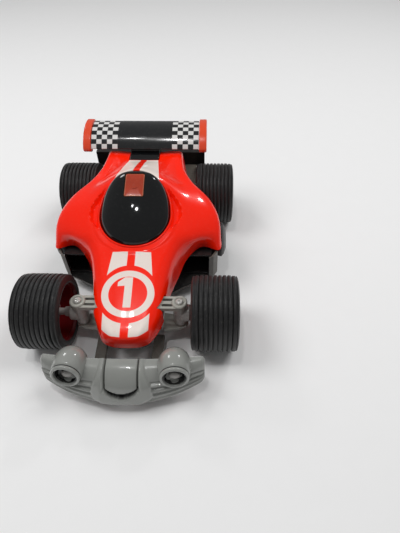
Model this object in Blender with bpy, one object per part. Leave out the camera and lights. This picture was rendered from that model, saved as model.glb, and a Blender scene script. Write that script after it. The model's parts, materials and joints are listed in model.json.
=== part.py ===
"""A toy radio control racing car: single-seater body, steering front wheels, geared rear axle.

The car faces -Y, +Z is up and +X is the driver's left. Shapes are drawn in millimetres, with y measured
rearward from the front axle and z from the floor, and solid() turns them into objects in metres.
"""

import math

import bmesh
import bpy
from mathutils import Matrix, Vector

MM = 0.001
SIDES = {"left": 1, "right": -1}

# Layout
FRONT_AXLE_Y = -64          # the front axle in the car's own frame, which is centred on its length
WHEELBASE = 160
AXLE_Z = 32
GAP = 0.4                   # between pieces that touch

# Wheels
TYRE_RADIUS = 32
TYRE_WIDTH = 38
TYRE_SHOULDER = 4
RIM_RADIUS = 27
WHEEL_OUTER_X = 90
WHEEL_INNER_X = WHEEL_OUTER_X - TYRE_WIDTH
RIM_WEB_X = 78
HUB_RADIUS = 6.5
WHEEL_SEGMENTS = 28

# Steering
KINGPIN_X = 42
KINGPIN_RADIUS = 1.5
SCREW_HEAD_RADIUS = 3
SCREW_HEAD_HEIGHT = 1.7
KNUCKLE_RADIUS = 4.5
FLANGE_RADIUS = 7
STUB_RADIUS = 3
STEER_ARM = 14              # steering arm from the kingpin back to its pin
STEER_PIN_RADIUS = 1.6
TIE_ROD_Z = (25, 28)
TIE_ROD_FRONT = 2.6         # the bar's reach in front of and behind the steering pins
TIE_ROD_REAR = 1.4
TIE_ROD_EYE_RADIUS = 4.2
RACK_MODULE = 0.6
STEER_PINION_TEETH = 10
UPPER_ARM_Z = (42.5, 46.5)
UPPER_ARM_HALF_WIDTH = 6.2
UPPER_ARM_SLOTS = (29, 35.5, 2.7, 1.2)          # from x, to x, distance from the middle, half width
LOWER_ARM_Z = (15.5, 19)
LOWER_ARM = [(27.2, -9), (42, -6.5), (47, -4), (48.5, 0), (47, 4), (42, 6.5), (27.2, 9)]

# Gear train
GEAR_MODULE = 1.0
TOOTH_ROOT = (1.15, 0.31)   # depth in modules and half width in pitches, at the root
TOOTH_TIP = (0.85, 0.10)    # the same at the tip
AXLE_GEAR_TEETH = 24
IDLER_SMALL_TEETH = 10
IDLER_LARGE_TEETH = 22
MOTOR_PINION_TEETH = 8
IDLER_ANGLE = math.radians(187)      # direction from the axle to the idler, in the y-z plane
MOTOR_ANGLE = math.radians(172)      # direction from the idler to the motor
GEAR_X = (14, 18)                    # axle gear and the idler's small gear
PINION_X = (19, 23)                  # the idler's large gear and the motor pinion
REAR_AXLE_RADIUS = 2
BUSH_X = (45.5, 50.5)
BUSH_RADIUS = 5
IDLER_PIN_RADIUS = 1.5
MOTOR_RADIUS = 10
MOTOR_END_X = -18

# Chassis
FLOOR_Z = (14, 16)
TUB_WALL = 2
TUB_TOP_Z = 43
NOSE_WALL_Z = 34
TUB_OUTLINE = [(8, -25), (15, -22), (20.5, -14), (24.5, -4), (26, 8), (27, 20), (33, 34), (43, 41),
               (70, 55), (74, 62), (74, 107), (50, 125), (48, 130), (48, 187)]
BATTERY_BAY = (30, 54, 106)          # half width, front, rear
CELL_RADIUS = 7.1
CELL_LENGTH = 50
COVER_SCREW_Y = 58
SWITCH_SLOT = (3, 116, 128)          # half width, front, rear
DECK_HALF_WIDTH = 50
DECK_Y = (150, 187)
DECK_TOP_Z = 51
POD_Y = (68, 105)                    # the side pod's bulge
POD_Z = (22, 46)
POD_BEVEL = 5
POD_STATIONS = [(64, -3), (77.8, -1), (80, -3), (82, -7)]        # x, growth of the section

# Canopy, seen from above an egg
CANOPY_FRONT = 46
CANOPY_WIDEST = 73.5
CANOPY_REAR = 106.5
CANOPY_HALF_WIDTH = 30.6
CANOPY_REAR_POWER = 0.7              # 1 is an ellipse; less keeps the egg wide towards the rear
CANOPY_DOME = 18.2
CANOPY_EDGE_Z = 63.85                # the edge's height at the front
CANOPY_EDGE_SLOPE = 0.3
CANOPY_EDGE_KICK = 13.7              # further rise at the rear
CANOPY_WALL = 1.8
CANOPY_SKIRT = 4
WINDOW = (8.4, 78.8, 101)            # half width, front, rear
WINDOW_DEPTH = 1.2

# Wing
WING_CENTRE = (187.7, 65.6)          # centre of the blade's arc, as y and z
WING_RADIUS = 33
WING_ARC = (38, 106)                 # degrees above the forward direction, front edge to rear edge
WING_THICKNESS = 3
WING_HALF_SPAN = 54.4
ENDPLATE_THICKNESS = 8
ENDPLATE_MARGIN = 1.5                # beyond the blade's upper face
ENDPLATE_DEPTH = 9                   # below the blade's upper face
ENDPLATE_OVERHANG = (4, 2)           # degrees past the blade's front and rear edges

# Bumper
BUMPER_HALF_WIDTH = 63.3
BUMPER_SECTION = [(-46, 35), (-55, 33.5), (-63, 27), (-68, 18), (-70.4, 9), (-64, 9), (-61, 17),
                  (-56, 24), (-48, 31)]
BUMPER_END_SWEEP = 0.6               # share of the section's depth lost at the ends
BUMPER_END_RISE = 7                  # lower edge, centre to end
BUMPER_END_LIFT = 2                  # upper edge, centre to end
BUMPER_END_BACK = 3                  # the same edge, rearward
BUMPER_END_POWER = 2.2               # how late the section gets shallower
BUMPER_STATIONS = (-1, -0.88, -0.7, -0.5, -0.25, 0, 0.25, 0.5, 0.7, 0.88, 1)
POD_CENTRE = (40.8, -49, 34)
POD_RADII = (13.8, 14, 13)
LENS_CENTRE = (41.2, -60.8, 33.6)
LENS_RADIUS = 7.6
LENS_TILT = math.radians(10)
LENS_RIM = 1.2                       # wall round the cup
CUP_DEPTH = 7
CUP_WALL = 1.6
BULB = [(-4.6, 3.2), (-3.4, 3.2), (-2.2, 2.6), (-1.5, 1.2)]      # reach from the lens, radius
BUMPER_ARM = [(18.5, -57), (27.5, -55), (28.5, -10), (19.5, -10)]
BUMPER_ARM_BASE_Z = 9.6

# Body shell: lengthwise rails from the centre line outwards, all met by the same stations
SHELL_WALL = 1.8
RAIL_CENTRE = [(0, -33, 29), (0, -33, 37.5), (0, -30, 43.2), (0, -15, 47.7), (0, 3, 52.9),
               (0, 20, 57.8), (0, 37, 62.6), (0, 47, 65.5), (0, 60, 70), (0, 79, 77),
               (0, 93, 90), (0, 107, 98.5), (0, 122, 93.5), (0, 137, 86.8), (0, 150, 80.8),
               (0, 166, 79.5)]
RAIL_HUMP = [(6, -32.8, 29), (6, -32.7, 37.5), (7, -29.6, 43.2), (10, -15, 47.6), (12, 3, 52.8),
             (13, 20, 57.7), (15, 37, 62.5), (18, 47, 65.4), (22, 60, 70.2), (24, 77, 76.5),
             (22, 91, 85), (18, 106, 93), (17.5, 122, 89), (17, 137, 84.5), (16.5, 150, 81),
             (16.5, 166, 80)]
RAIL_TOP = [(12, -31.8, 29), (12, -31.5, 37), (13.5, -28, 43), (20, -14, 46.8), (23, 3, 51.8),
            (25, 20, 56.6), (29, 37, 61.4), (34, 48, 64.6), (40, 59, 69), (43, 76, 74.5),
            (44, 90, 78), (41, 106, 80.5), (34, 122, 80.5), (32, 137, 80.8), (30, 151, 81),
            (29, 166, 81)]
RAIL_SHOULDER = [(19, -28, 29), (19.5, -27, 36), (22.5, -20.5, 40.5), (27.5, -9, 42.5), (29.5, 5, 46.5),
                 (32.5, 22, 50), (36.5, 38, 54), (43, 50, 57), (55, 60, 60), (70, 72, 61),
                 (72, 87, 65.5), (65, 105, 69.5), (50, 122, 74), (42, 137, 76.5), (39, 151, 78),
                 (37.5, 166, 78.5)]
RAIL_EDGE = [(24, -20, 29), (25.8, -16, 29), (28, -10, 29.5), (30, -1, 31), (31.5, 11, 33),
             (34.5, 25, 32), (39, 39, 33), (46, 53, 41), (59, 64.5, 45.5), (75.5, 62, 44.5),
             (76.5, 80, 46), (70.5, 104, 45), (54.5, 121, 45), (48.5, 137, 47), (44.5, 151, 54),
             (41, 166, 54)]
PYLON_HALF_WIDTH = 14.7
PYLON_FRONT = [(150.6, 51.5), (150.6, 80), (163.5, 82.2)]        # as y and z, up the front
PYLON_SEAT = (40, 48, 56, 64, 72)    # degrees on the wing's arc where the pylon carries the blade
PYLON_REAR = [(182, 88), (180, 70), (180, 51.5)]

# Paint: colour, roughness, metallic
PAINTS = {
    "shell_red": ((0.80, 0.045, 0.01), 0.25, 0.0),
    "gloss_black": ((0.012, 0.013, 0.014), 0.12, 0.0),
    "signal_red": ((0.30, 0.05, 0.02), 0.15, 0.0),
    "pod_black": ((0.015, 0.015, 0.016), 0.4, 0.0),
    "chassis_grey": ((0.09, 0.085, 0.08), 0.5, 0.0),
    "arm_grey": ((0.30, 0.30, 0.29), 0.4, 0.0),
    "bumper_grey": ((0.27, 0.28, 0.275), 0.3, 0.0),
    "rim_red": ((0.25, 0.01, 0.012), 0.35, 0.0),
    "tyre_black": ((0.02, 0.02, 0.021), 0.6, 0.0),
    "endplate_red": ((0.80, 0.09, 0.02), 0.3, 0.0),
    "lamp_grey": ((0.45, 0.43, 0.42), 0.3, 0.0),
    "steel": ((0.55, 0.55, 0.56), 0.3, 1.0),
    "gear_white": ((0.75, 0.73, 0.66), 0.4, 0.0),
    "board_green": ((0.03, 0.16, 0.06), 0.45, 0.0),
    "cell_jacket": ((0.10, 0.12, 0.30), 0.35, 0.0),
}


# --- Shapes: each of these returns a bmesh drawn in millimetres ---

def block(low, high):
    """A box between two corners."""
    shape = bmesh.new()
    bmesh.ops.create_cube(shape, size=1)
    size = [h - l for l, h in zip(low, high)]
    centre = [(l + h) / 2 for l, h in zip(low, high)]
    bmesh.ops.scale(shape, vec=size, verts=shape.verts)
    bmesh.ops.translate(shape, vec=centre, verts=shape.verts)
    return shape


def mirror_low_high(side, low, high):
    """The two corners of a box given for the +X side, moved to the wanted side."""
    if side > 0:
        return low, high
    return (-high[0], low[1], low[2]), (-low[0], high[1], high[2])


def loft(rings):
    """A closed body through rings of equally many points, with a cap on the first and the last."""
    shape = bmesh.new()
    rows = [[shape.verts.new(point) for point in ring] for ring in rings]
    count = len(rings[0])
    for near, far in zip(rows, rows[1:]):
        for i in range(count):
            j = (i + 1) % count
            shape.faces.new((near[i], near[j], far[j], far[i]))
    shape.faces.new(reversed(rows[0]))
    shape.faces.new(rows[-1])
    bmesh.ops.recalc_face_normals(shape, faces=shape.faces)
    return shape


def prism(outline, axis, low, high):
    """An outline in the two axes other than axis, in X, Y, Z order, stretched from low to high."""
    index = "xyz".index(axis)

    def lift(point, height):
        coords = list(point)
        coords.insert(index, height)
        return coords

    return loft([[lift(p, low) for p in outline], [lift(p, high) for p in outline]])


def circle(centre, radius, segments, start=0.0):
    """Points of a circle in a plane, as pairs."""
    turn = 2 * math.pi / segments
    return [(centre[0] + radius * math.cos(start + i * turn),
             centre[1] + radius * math.sin(start + i * turn)) for i in range(segments)]


def disc(axis, centre, radius, low, high, segments=16):
    """A cylinder along an axis; centre is in the two other axes."""
    return prism(circle(centre, radius, segments), axis, low, high)


def turned(profile, centre_y, centre_z, segments):
    """A closed profile of (x, radius) points turned about an axis along X."""
    shape = bmesh.new()
    rows = []
    for i in range(segments):
        angle = 2 * math.pi * i / segments
        rows.append([shape.verts.new((x, centre_y + r * math.cos(angle), centre_z + r * math.sin(angle)))
                     for x, r in profile])
    count = len(profile)
    for i in range(segments):
        near, far = rows[i], rows[(i + 1) % segments]
        for k in range(count):
            m = (k + 1) % count
            shape.faces.new((near[k], near[m], far[m], far[k]))
    bmesh.ops.recalc_face_normals(shape, faces=shape.faces)
    return shape


def combine(base, tool, operation):
    """The boolean of two shapes. Both are used up."""
    pieces = []
    for shape in (base, tool):
        mesh = bpy.data.meshes.new("shape")
        shape.to_mesh(mesh)
        shape.free()
        piece = bpy.data.objects.new("shape", mesh)
        bpy.context.scene.collection.objects.link(piece)
        pieces.append(piece)
    modifier = pieces[0].modifiers.new("combine", "BOOLEAN")
    modifier.operation = operation
    modifier.object = pieces[1]
    modifier.solver = "EXACT"
    depsgraph = bpy.context.evaluated_depsgraph_get()
    result = bmesh.new()
    result.from_mesh(pieces[0].evaluated_get(depsgraph).to_mesh())
    for piece in pieces:
        mesh = piece.data
        bpy.data.objects.remove(piece)
        bpy.data.meshes.remove(mesh)
    bmesh.ops.remove_doubles(result, verts=result.verts, dist=0.001)
    return result


def join(base, *tools):
    """One body out of several that overlap."""
    for tool in tools:
        base = combine(base, tool, "UNION")
    return base


def carve(base, *tools):
    """base without the tools."""
    for tool in tools:
        base = combine(base, tool, "DIFFERENCE")
    return base


def curve_through(points, steps):
    """Points on a smooth curve through the given points, with steps points to each span."""
    ends = [points[0] * 2 - points[1]] + points + [points[-1] * 2 - points[-2]]
    result = []
    for a, b, c, d in zip(ends, ends[1:], ends[2:], ends[3:]):
        for k in range(steps):
            t = k / steps
            result.append(0.5 * (2 * b + (c - a) * t + (2 * a - 5 * b + 4 * c - d) * t * t
                                 + (3 * b - a - 3 * c + d) * t * t * t))
    result.append(points[-1])
    return result


def gear_outline(teeth, module, centre, phase=0.0):
    """A spur gear's outline with straight flanks. phase turns it, in radians."""
    pitch_radius = teeth * module / 2
    pitch = math.pi * module
    flank = [(pitch_radius - TOOTH_ROOT[0] * module, TOOTH_ROOT[1] * pitch),
             (pitch_radius + TOOTH_TIP[0] * module, TOOTH_TIP[1] * pitch)]
    points = []
    for tooth in range(teeth):
        middle = phase + 2 * math.pi * tooth / teeth
        for radius, half_width in flank:
            angle = middle - half_width / radius
            points.append((centre[0] + radius * math.cos(angle), centre[1] + radius * math.sin(angle)))
        for radius, half_width in reversed(flank):
            angle = middle + half_width / radius
            points.append((centre[0] + radius * math.cos(angle), centre[1] + radius * math.sin(angle)))
    return points


# --- Objects ---

def make_paint(name):
    """The material of a name in PAINTS, made once."""
    if name in bpy.data.materials:
        return bpy.data.materials[name]
    colour, roughness, metallic = PAINTS[name]
    paint = bpy.data.materials.new(name)
    paint.use_nodes = True
    shader = paint.node_tree.nodes["Principled BSDF"]
    shader.inputs["Base Color"].default_value = (*colour, 1)
    shader.inputs["Roughness"].default_value = roughness
    shader.inputs["Metallic"].default_value = metallic
    paint.diffuse_color = (*colour, 1)
    return paint


def to_car(x, y, z):
    """A point drawn in millimetres from the front axle, in the car's frame in metres."""
    return Vector((x, y + FRONT_AXLE_Y, z)) * MM


def solid(name, shape, paint, origin, parent=None):
    """Make a named object of a shape. Its origin is put at a point given in drawing units."""
    place = to_car(*origin)
    bmesh.ops.transform(shape, matrix=Matrix.Translation(-Vector(origin)), verts=shape.verts)
    bmesh.ops.scale(shape, vec=(MM, MM, MM), verts=shape.verts)
    mesh = bpy.data.meshes.new(name)
    shape.to_mesh(mesh)
    shape.free()
    mesh.materials.append(make_paint(paint))
    mesh.shade_smooth()
    mesh.set_sharp_from_angle(angle=math.radians(35))
    piece = bpy.data.objects.new(name, mesh)
    bpy.context.scene.collection.objects.link(piece)
    piece.location = place
    if parent is not None:
        piece.parent = parent
        piece.matrix_parent_inverse = Matrix.Translation(-parent.location)
    return piece


def pivot(name, point):
    """An empty on a joint's axis, which the moving pieces are parented to."""
    empty = bpy.data.objects.new(name, None)
    empty.empty_display_size = 0.01
    bpy.context.scene.collection.objects.link(empty)
    empty.location = to_car(*point)
    return empty


# --- Wheels ---

def tyre_profile():
    """(x, radius) points round the tyre's section, for the +X side."""
    shoulder = TYRE_SHOULDER
    low, high = WHEEL_INNER_X, WHEEL_OUTER_X
    inner = [(low, RIM_RADIUS + GAP), (low, TYRE_RADIUS - shoulder),
             (low + 0.3 * shoulder, TYRE_RADIUS - 0.3 * shoulder), (low + shoulder, TYRE_RADIUS)]
    return inner + [(low + high - x, radius) for x, radius in reversed(inner)]


def rim_profile(bore):
    """(x, radius) points of a rim for the +X side: barrel, web near the outer face, hub."""
    return [(WHEEL_INNER_X + 0.5, RIM_RADIUS), (WHEEL_INNER_X + 0.5, RIM_RADIUS - 2.5),
            (RIM_WEB_X - 4, RIM_RADIUS - 4), (RIM_WEB_X, RIM_RADIUS - 8), (RIM_WEB_X, HUB_RADIUS),
            (WHEEL_INNER_X + 9, HUB_RADIUS), (WHEEL_INNER_X + 9, bore), (RIM_WEB_X + 6, bore),
            (RIM_WEB_X + 6, HUB_RADIUS + 3), (RIM_WEB_X + 3, RIM_RADIUS - 7),
            (RIM_WEB_X + 8, RIM_RADIUS - 2.5), (WHEEL_OUTER_X - 1, RIM_RADIUS - 2.5),
            (WHEEL_OUTER_X - 1, RIM_RADIUS)]


def mirrored(profile, side):
    """A profile's x values on the wanted side."""
    return [(side * x, r) for x, r in profile]


def make_wheel(corner, side, axle_y, bore, parent):
    """Tyre, rim and hub cap of one wheel."""
    centre = (side * (WHEEL_INNER_X + WHEEL_OUTER_X) / 2, axle_y, AXLE_Z)
    tyre = turned(mirrored(tyre_profile(), side), axle_y, AXLE_Z, WHEEL_SEGMENTS)
    solid(corner + "_tyre", tyre, "tyre_black", centre, parent)
    rim = turned(mirrored(rim_profile(bore), side), axle_y, AXLE_Z, WHEEL_SEGMENTS // 2)
    solid(corner + "_rim", rim, "rim_red", centre, parent)
    cap_x = sorted((side * (RIM_WEB_X + 6 + GAP), side * (RIM_WEB_X + 10)))
    cap = disc("x", (axle_y, AXLE_Z), HUB_RADIUS, cap_x[0], cap_x[1], 16)
    solid(corner + "_hub_cap", cap, "arm_grey", centre, parent)


# --- Front suspension and steering ---

def kingpin_bore(low, high):
    """The hole for the +X kingpin."""
    return disc("z", (KINGPIN_X, 0), KINGPIN_RADIUS + GAP, low, high, 12)


def slotted_arm(side):
    """The upper arm: a plate with a round end over the kingpin and two long slots."""
    low, high = UPPER_ARM_Z
    half_width = UPPER_ARM_HALF_WIDTH
    plate = join(block((24, -half_width, low), (KINGPIN_X, half_width, high)),
                 disc("z", (KINGPIN_X, 0), half_width + 0.3, low, high + 1, 20))
    start, end, middle, half_slot = UPPER_ARM_SLOTS
    slots = [block((start, y - half_slot, low - 1), (end, y + half_slot, high + 1))
             for y in (-middle, middle)]
    return flip(carve(plate, *slots, kingpin_bore(low - 1, high + 2)), side)


def flip(shape, side):
    """Move a shape drawn for the +X side to the wanted side."""
    if side < 0:
        bmesh.ops.scale(shape, vec=(-1, 1, 1), verts=shape.verts)
        bmesh.ops.reverse_faces(shape, faces=shape.faces)
    return shape


def lower_arm(side):
    """The lower arm: a flat wing from the tub's wall to the kingpin."""
    low, high = LOWER_ARM_Z
    return flip(carve(prism(LOWER_ARM, "z", low, high), kingpin_bore(low - 1, high + 1)), side)


def kingpin_screw(side):
    """A pan-head screw from above the upper arm down into the lower arm."""
    top = UPPER_ARM_Z[1] + 1 + GAP
    shaft = disc("z", (KINGPIN_X, 0), KINGPIN_RADIUS, LOWER_ARM_Z[0] + 0.5, top + 0.5, 10)
    head = disc("z", (KINGPIN_X, 0), SCREW_HEAD_RADIUS, top, top + SCREW_HEAD_HEIGHT, 16)
    return flip(join(shaft, head), side)


def knuckle(side):
    """Barrel on the kingpin, stub axle, and a steering arm that ends in an upright pin."""
    low = LOWER_ARM_Z[1] + GAP
    high = UPPER_ARM_Z[0] - GAP
    barrel = disc("z", (KINGPIN_X, 0), KNUCKLE_RADIUS, low, high, 16)
    flange = disc("x", (0, AXLE_Z), FLANGE_RADIUS, KINGPIN_X + 2, KINGPIN_X + 9, 16)
    stub = disc("x", (0, AXLE_Z), STUB_RADIUS, KINGPIN_X + 3, RIM_WEB_X + 6, 12)
    arm_outline = [(KINGPIN_X - 4, 0), (KINGPIN_X + 4, 0), (KINGPIN_X + 3, STEER_ARM + 2),
                   (KINGPIN_X, STEER_ARM + 3.4), (KINGPIN_X - 3, STEER_ARM + 2)]
    arm = prism(arm_outline, "z", TIE_ROD_Z[0] - 3.4, TIE_ROD_Z[0] - GAP)
    pin = disc("z", (KINGPIN_X, STEER_ARM), STEER_PIN_RADIUS, TIE_ROD_Z[0] - 1, TIE_ROD_Z[1] + 1, 10)
    upright = join(barrel, flange, stub, arm, pin)
    return flip(carve(upright, kingpin_bore(low - 1, high + 1)), side)


def tie_rod():
    """Cross bar with a slotted eye at each end and a rack on its rear edge."""
    low, high = TIE_ROD_Z
    bar = block((-KINGPIN_X, STEER_ARM - TIE_ROD_FRONT, low), (KINGPIN_X, STEER_ARM + TIE_ROD_REAR, high))
    pitch = math.pi * RACK_MODULE
    base = STEER_ARM + TIE_ROD_REAR
    tip = base + 2 * RACK_MODULE
    teeth = []
    for index in range(-5, 6):
        x = index * pitch
        teeth.append((x - TOOTH_ROOT[1] * pitch, base))
        teeth.append((x - TOOTH_TIP[1] * pitch, tip))
        teeth.append((x + TOOTH_TIP[1] * pitch, tip))
        teeth.append((x + TOOTH_ROOT[1] * pitch, base))
    rack = prism([(teeth[0][0], base - 1)] + teeth + [(teeth[-1][0], base - 1)], "z", low, high)
    eyes = [disc("z", (side * KINGPIN_X, STEER_ARM - 0.5), TIE_ROD_EYE_RADIUS, low, high, 16)
            for side in (1, -1)]
    shape = join(bar, rack, *eyes)
    for side in (1, -1):
        half = STEER_PIN_RADIUS + GAP
        slot = block((side * KINGPIN_X - half, STEER_ARM - half - 1, low - 1),
                     (side * KINGPIN_X + half, STEER_ARM + half, high + 1))
        shape = carve(shape, slot)
    return shape


def steering_pinion_y():
    """Where the steering pinion's axis is, from the rack's pitch line."""
    rack_pitch_line = STEER_ARM + TIE_ROD_REAR + TOOTH_ROOT[0] * RACK_MODULE
    return rack_pitch_line + STEER_PINION_TEETH * RACK_MODULE / 2


def make_steering():
    """Arms, screws, knuckles, tie rod, pinion, and the two front wheels."""
    for name, side in SIDES.items():
        axis = (side * KINGPIN_X, 0, AXLE_Z)
        solid("upper_arm_" + name, slotted_arm(side), "arm_grey", axis)
        solid("lower_arm_" + name, lower_arm(side), "arm_grey", axis)
        solid("kingpin_screw_" + name, kingpin_screw(side), "steel", axis)
        steer = pivot("steer_axis_" + name, axis)
        solid("knuckle_" + name, knuckle(side), "lamp_grey", axis, steer)
        spin = pivot("front_spin_axis_" + name, axis)
        make_wheel("front_" + name, side, 0, STUB_RADIUS + GAP, spin)
    solid("tie_rod", tie_rod(), "arm_grey", (0, STEER_ARM, TIE_ROD_Z[0]))
    pinion_y = steering_pinion_y()
    phase = -math.pi / 2 + math.pi / STEER_PINION_TEETH
    teeth = gear_outline(STEER_PINION_TEETH, RACK_MODULE, (0, pinion_y), phase)
    pinion_axis = (0, pinion_y, TIE_ROD_Z[0])
    pinion = prism(teeth, "z", TIE_ROD_Z[0], TIE_ROD_Z[1] + 0.4)
    solid("steering_pinion", pinion, "gear_white", pinion_axis, pivot("steering_pinion_axis", pinion_axis))
    motor = join(disc("z", (0, pinion_y), 7.5, TIE_ROD_Z[1] + 1, 45, 20),
                 block((-9.5, pinion_y - 3, 33), (9.5, pinion_y + 3, 35)))
    solid("steering_motor", motor, "steel", (0, pinion_y, 35))


# --- Drive ---

def gear_centres():
    """The y and z of the idler's and the motor's axes."""
    to_idler = (AXLE_GEAR_TEETH + IDLER_SMALL_TEETH) * GEAR_MODULE / 2
    to_motor = (IDLER_LARGE_TEETH + MOTOR_PINION_TEETH) * GEAR_MODULE / 2
    idler = (WHEELBASE + to_idler * math.cos(IDLER_ANGLE), AXLE_Z + to_idler * math.sin(IDLER_ANGLE))
    motor = (idler[0] + to_motor * math.cos(MOTOR_ANGLE), idler[1] + to_motor * math.sin(MOTOR_ANGLE))
    return idler, motor


def meshed_gear(teeth, centre, direction, tooth_there):
    """A drive gear's outline with a tooth, or a gap, exactly in the given direction."""
    phase = direction if tooth_there else direction + math.pi / teeth
    return gear_outline(teeth, GEAR_MODULE, centre, phase)


def make_drive():
    """Rear axle with its gear and wheels, idler, motor and pinion."""
    idler, motor = gear_centres()
    axle_centre = (WHEELBASE, AXLE_Z)
    spin = pivot("rear_axle_axis", (0, WHEELBASE, AXLE_Z))
    axle = disc("x", axle_centre, REAR_AXLE_RADIUS, -RIM_WEB_X - 5.5, RIM_WEB_X + 5.5, 12)
    solid("rear_axle", axle, "steel", (0, WHEELBASE, AXLE_Z), spin)
    wheel = prism(meshed_gear(AXLE_GEAR_TEETH, axle_centre, IDLER_ANGLE, True), "x", *GEAR_X)
    hub = disc("x", axle_centre, 5, GEAR_X[0] - 4, GEAR_X[1] + 4, 16)
    bore = disc("x", axle_centre, REAR_AXLE_RADIUS + GAP, GEAR_X[0] - 6, GEAR_X[1] + 6, 12)
    solid("axle_gear", carve(join(wheel, hub), bore), "gear_white", (0, WHEELBASE, AXLE_Z), spin)
    for name, side in SIDES.items():
        make_wheel("rear_" + name, side, WHEELBASE, REAR_AXLE_RADIUS + GAP, spin)
        ends = sorted((side * BUSH_X[0], side * BUSH_X[1]))
        bush = carve(disc("x", axle_centre, BUSH_RADIUS, ends[0], ends[1], 16),
                     disc("x", axle_centre, REAR_AXLE_RADIUS + GAP, ends[0] - 1, ends[1] + 1, 12))
        solid("axle_bush_" + name, bush, "gear_white", (sum(ends) / 2, WHEELBASE, AXLE_Z))
    small = prism(meshed_gear(IDLER_SMALL_TEETH, idler, IDLER_ANGLE + math.pi, False),
                  "x", GEAR_X[0], PINION_X[0] + 1)
    large = prism(meshed_gear(IDLER_LARGE_TEETH, idler, MOTOR_ANGLE, True), "x", *PINION_X)
    axis = (0, idler[0], idler[1])
    idler_pin = disc("x", idler, IDLER_PIN_RADIUS, GEAR_X[0] - 4, PINION_X[1] + 4, 10)
    solid("idler_gear", join(small, large, idler_pin), "gear_white", axis, pivot("idler_axis", axis))
    axis = (0, motor[0], motor[1])
    pinion = prism(meshed_gear(MOTOR_PINION_TEETH, motor, MOTOR_ANGLE + math.pi, False), "x", *PINION_X)
    solid("motor_pinion", pinion, "gear_white", axis, pivot("motor_pinion_axis", axis))
    can = disc("x", motor, MOTOR_RADIUS, MOTOR_END_X, GEAR_X[0] - 1, 20)
    nose = disc("x", motor, 3, GEAR_X[0] - 2, PINION_X[0] - GAP, 12)
    solid("drive_motor", join(can, nose), "steel", axis)


# --- Chassis ---

def full_outline(half):
    """A closed outline from the points of its +X half, ordered front to rear."""
    return half + [(-x, y) for x, y in reversed(half)]


def inset(half, wall):
    """The +X half of an outline moved inwards by about wall, and away from its two ends."""
    front, rear = half[0][1], half[-1][1]
    return [(x - wall, min(max(y, front + wall), rear - wall)) for x, y in half]


def chassis_tub():
    """Floor and walls, with a mouth at each intake, slots for the axles and a bay for the cells."""
    half_bay, bay_front, bay_rear = BATTERY_BAY
    tub = prism(full_outline(TUB_OUTLINE), "z", FLOOR_Z[0], TUB_TOP_Z)
    hollow = prism(full_outline(inset(TUB_OUTLINE, TUB_WALL)), "z", FLOOR_Z[1], TUB_TOP_Z + 5)
    tub = carve(tub, hollow, block((-40, -40, NOSE_WALL_Z), (40, 36, 60)))
    for side in (1, -1):
        mouth = block(*mirror_low_high(side, (29, 30, FLOOR_Z[1]), (66, 60, 60)))
        pod_window = block(*mirror_low_high(side, (60, 64.5, FLOOR_Z[1]), (80, 106, 60)))
        tie_slot = block(*mirror_low_high(side, (20, 4, 20), (40, 20, 60)))
        axle_slot = block(*mirror_low_high(side, (40, WHEELBASE - 5.4, AXLE_Z - 5.4),
                                           (60, WHEELBASE + 5.4, 60)))
        tub = carve(tub, mouth, pod_window, tie_slot, axle_slot)
    bay_outer = block((-half_bay - 2, bay_front - 2, FLOOR_Z[0] + 1), (half_bay + 2, bay_rear + 2, 34))
    bay_inner = block((-half_bay, bay_front, FLOOR_Z[0] - 1), (half_bay, bay_rear, 32))
    towers = [block(*mirror_low_high(side, (17, -6, FLOOR_Z[0] + 1), (25.4, 3, UPPER_ARM_Z[0] - GAP)))
              for side in (1, -1)]
    half_slot, slot_front, slot_rear = SWITCH_SLOT
    switch_slot = block((-half_slot, slot_front, FLOOR_Z[0] - 1), (half_slot, slot_rear, FLOOR_Z[1] + 1))
    return carve(join(tub, bay_outer, *towers), bay_inner, switch_slot)


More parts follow.
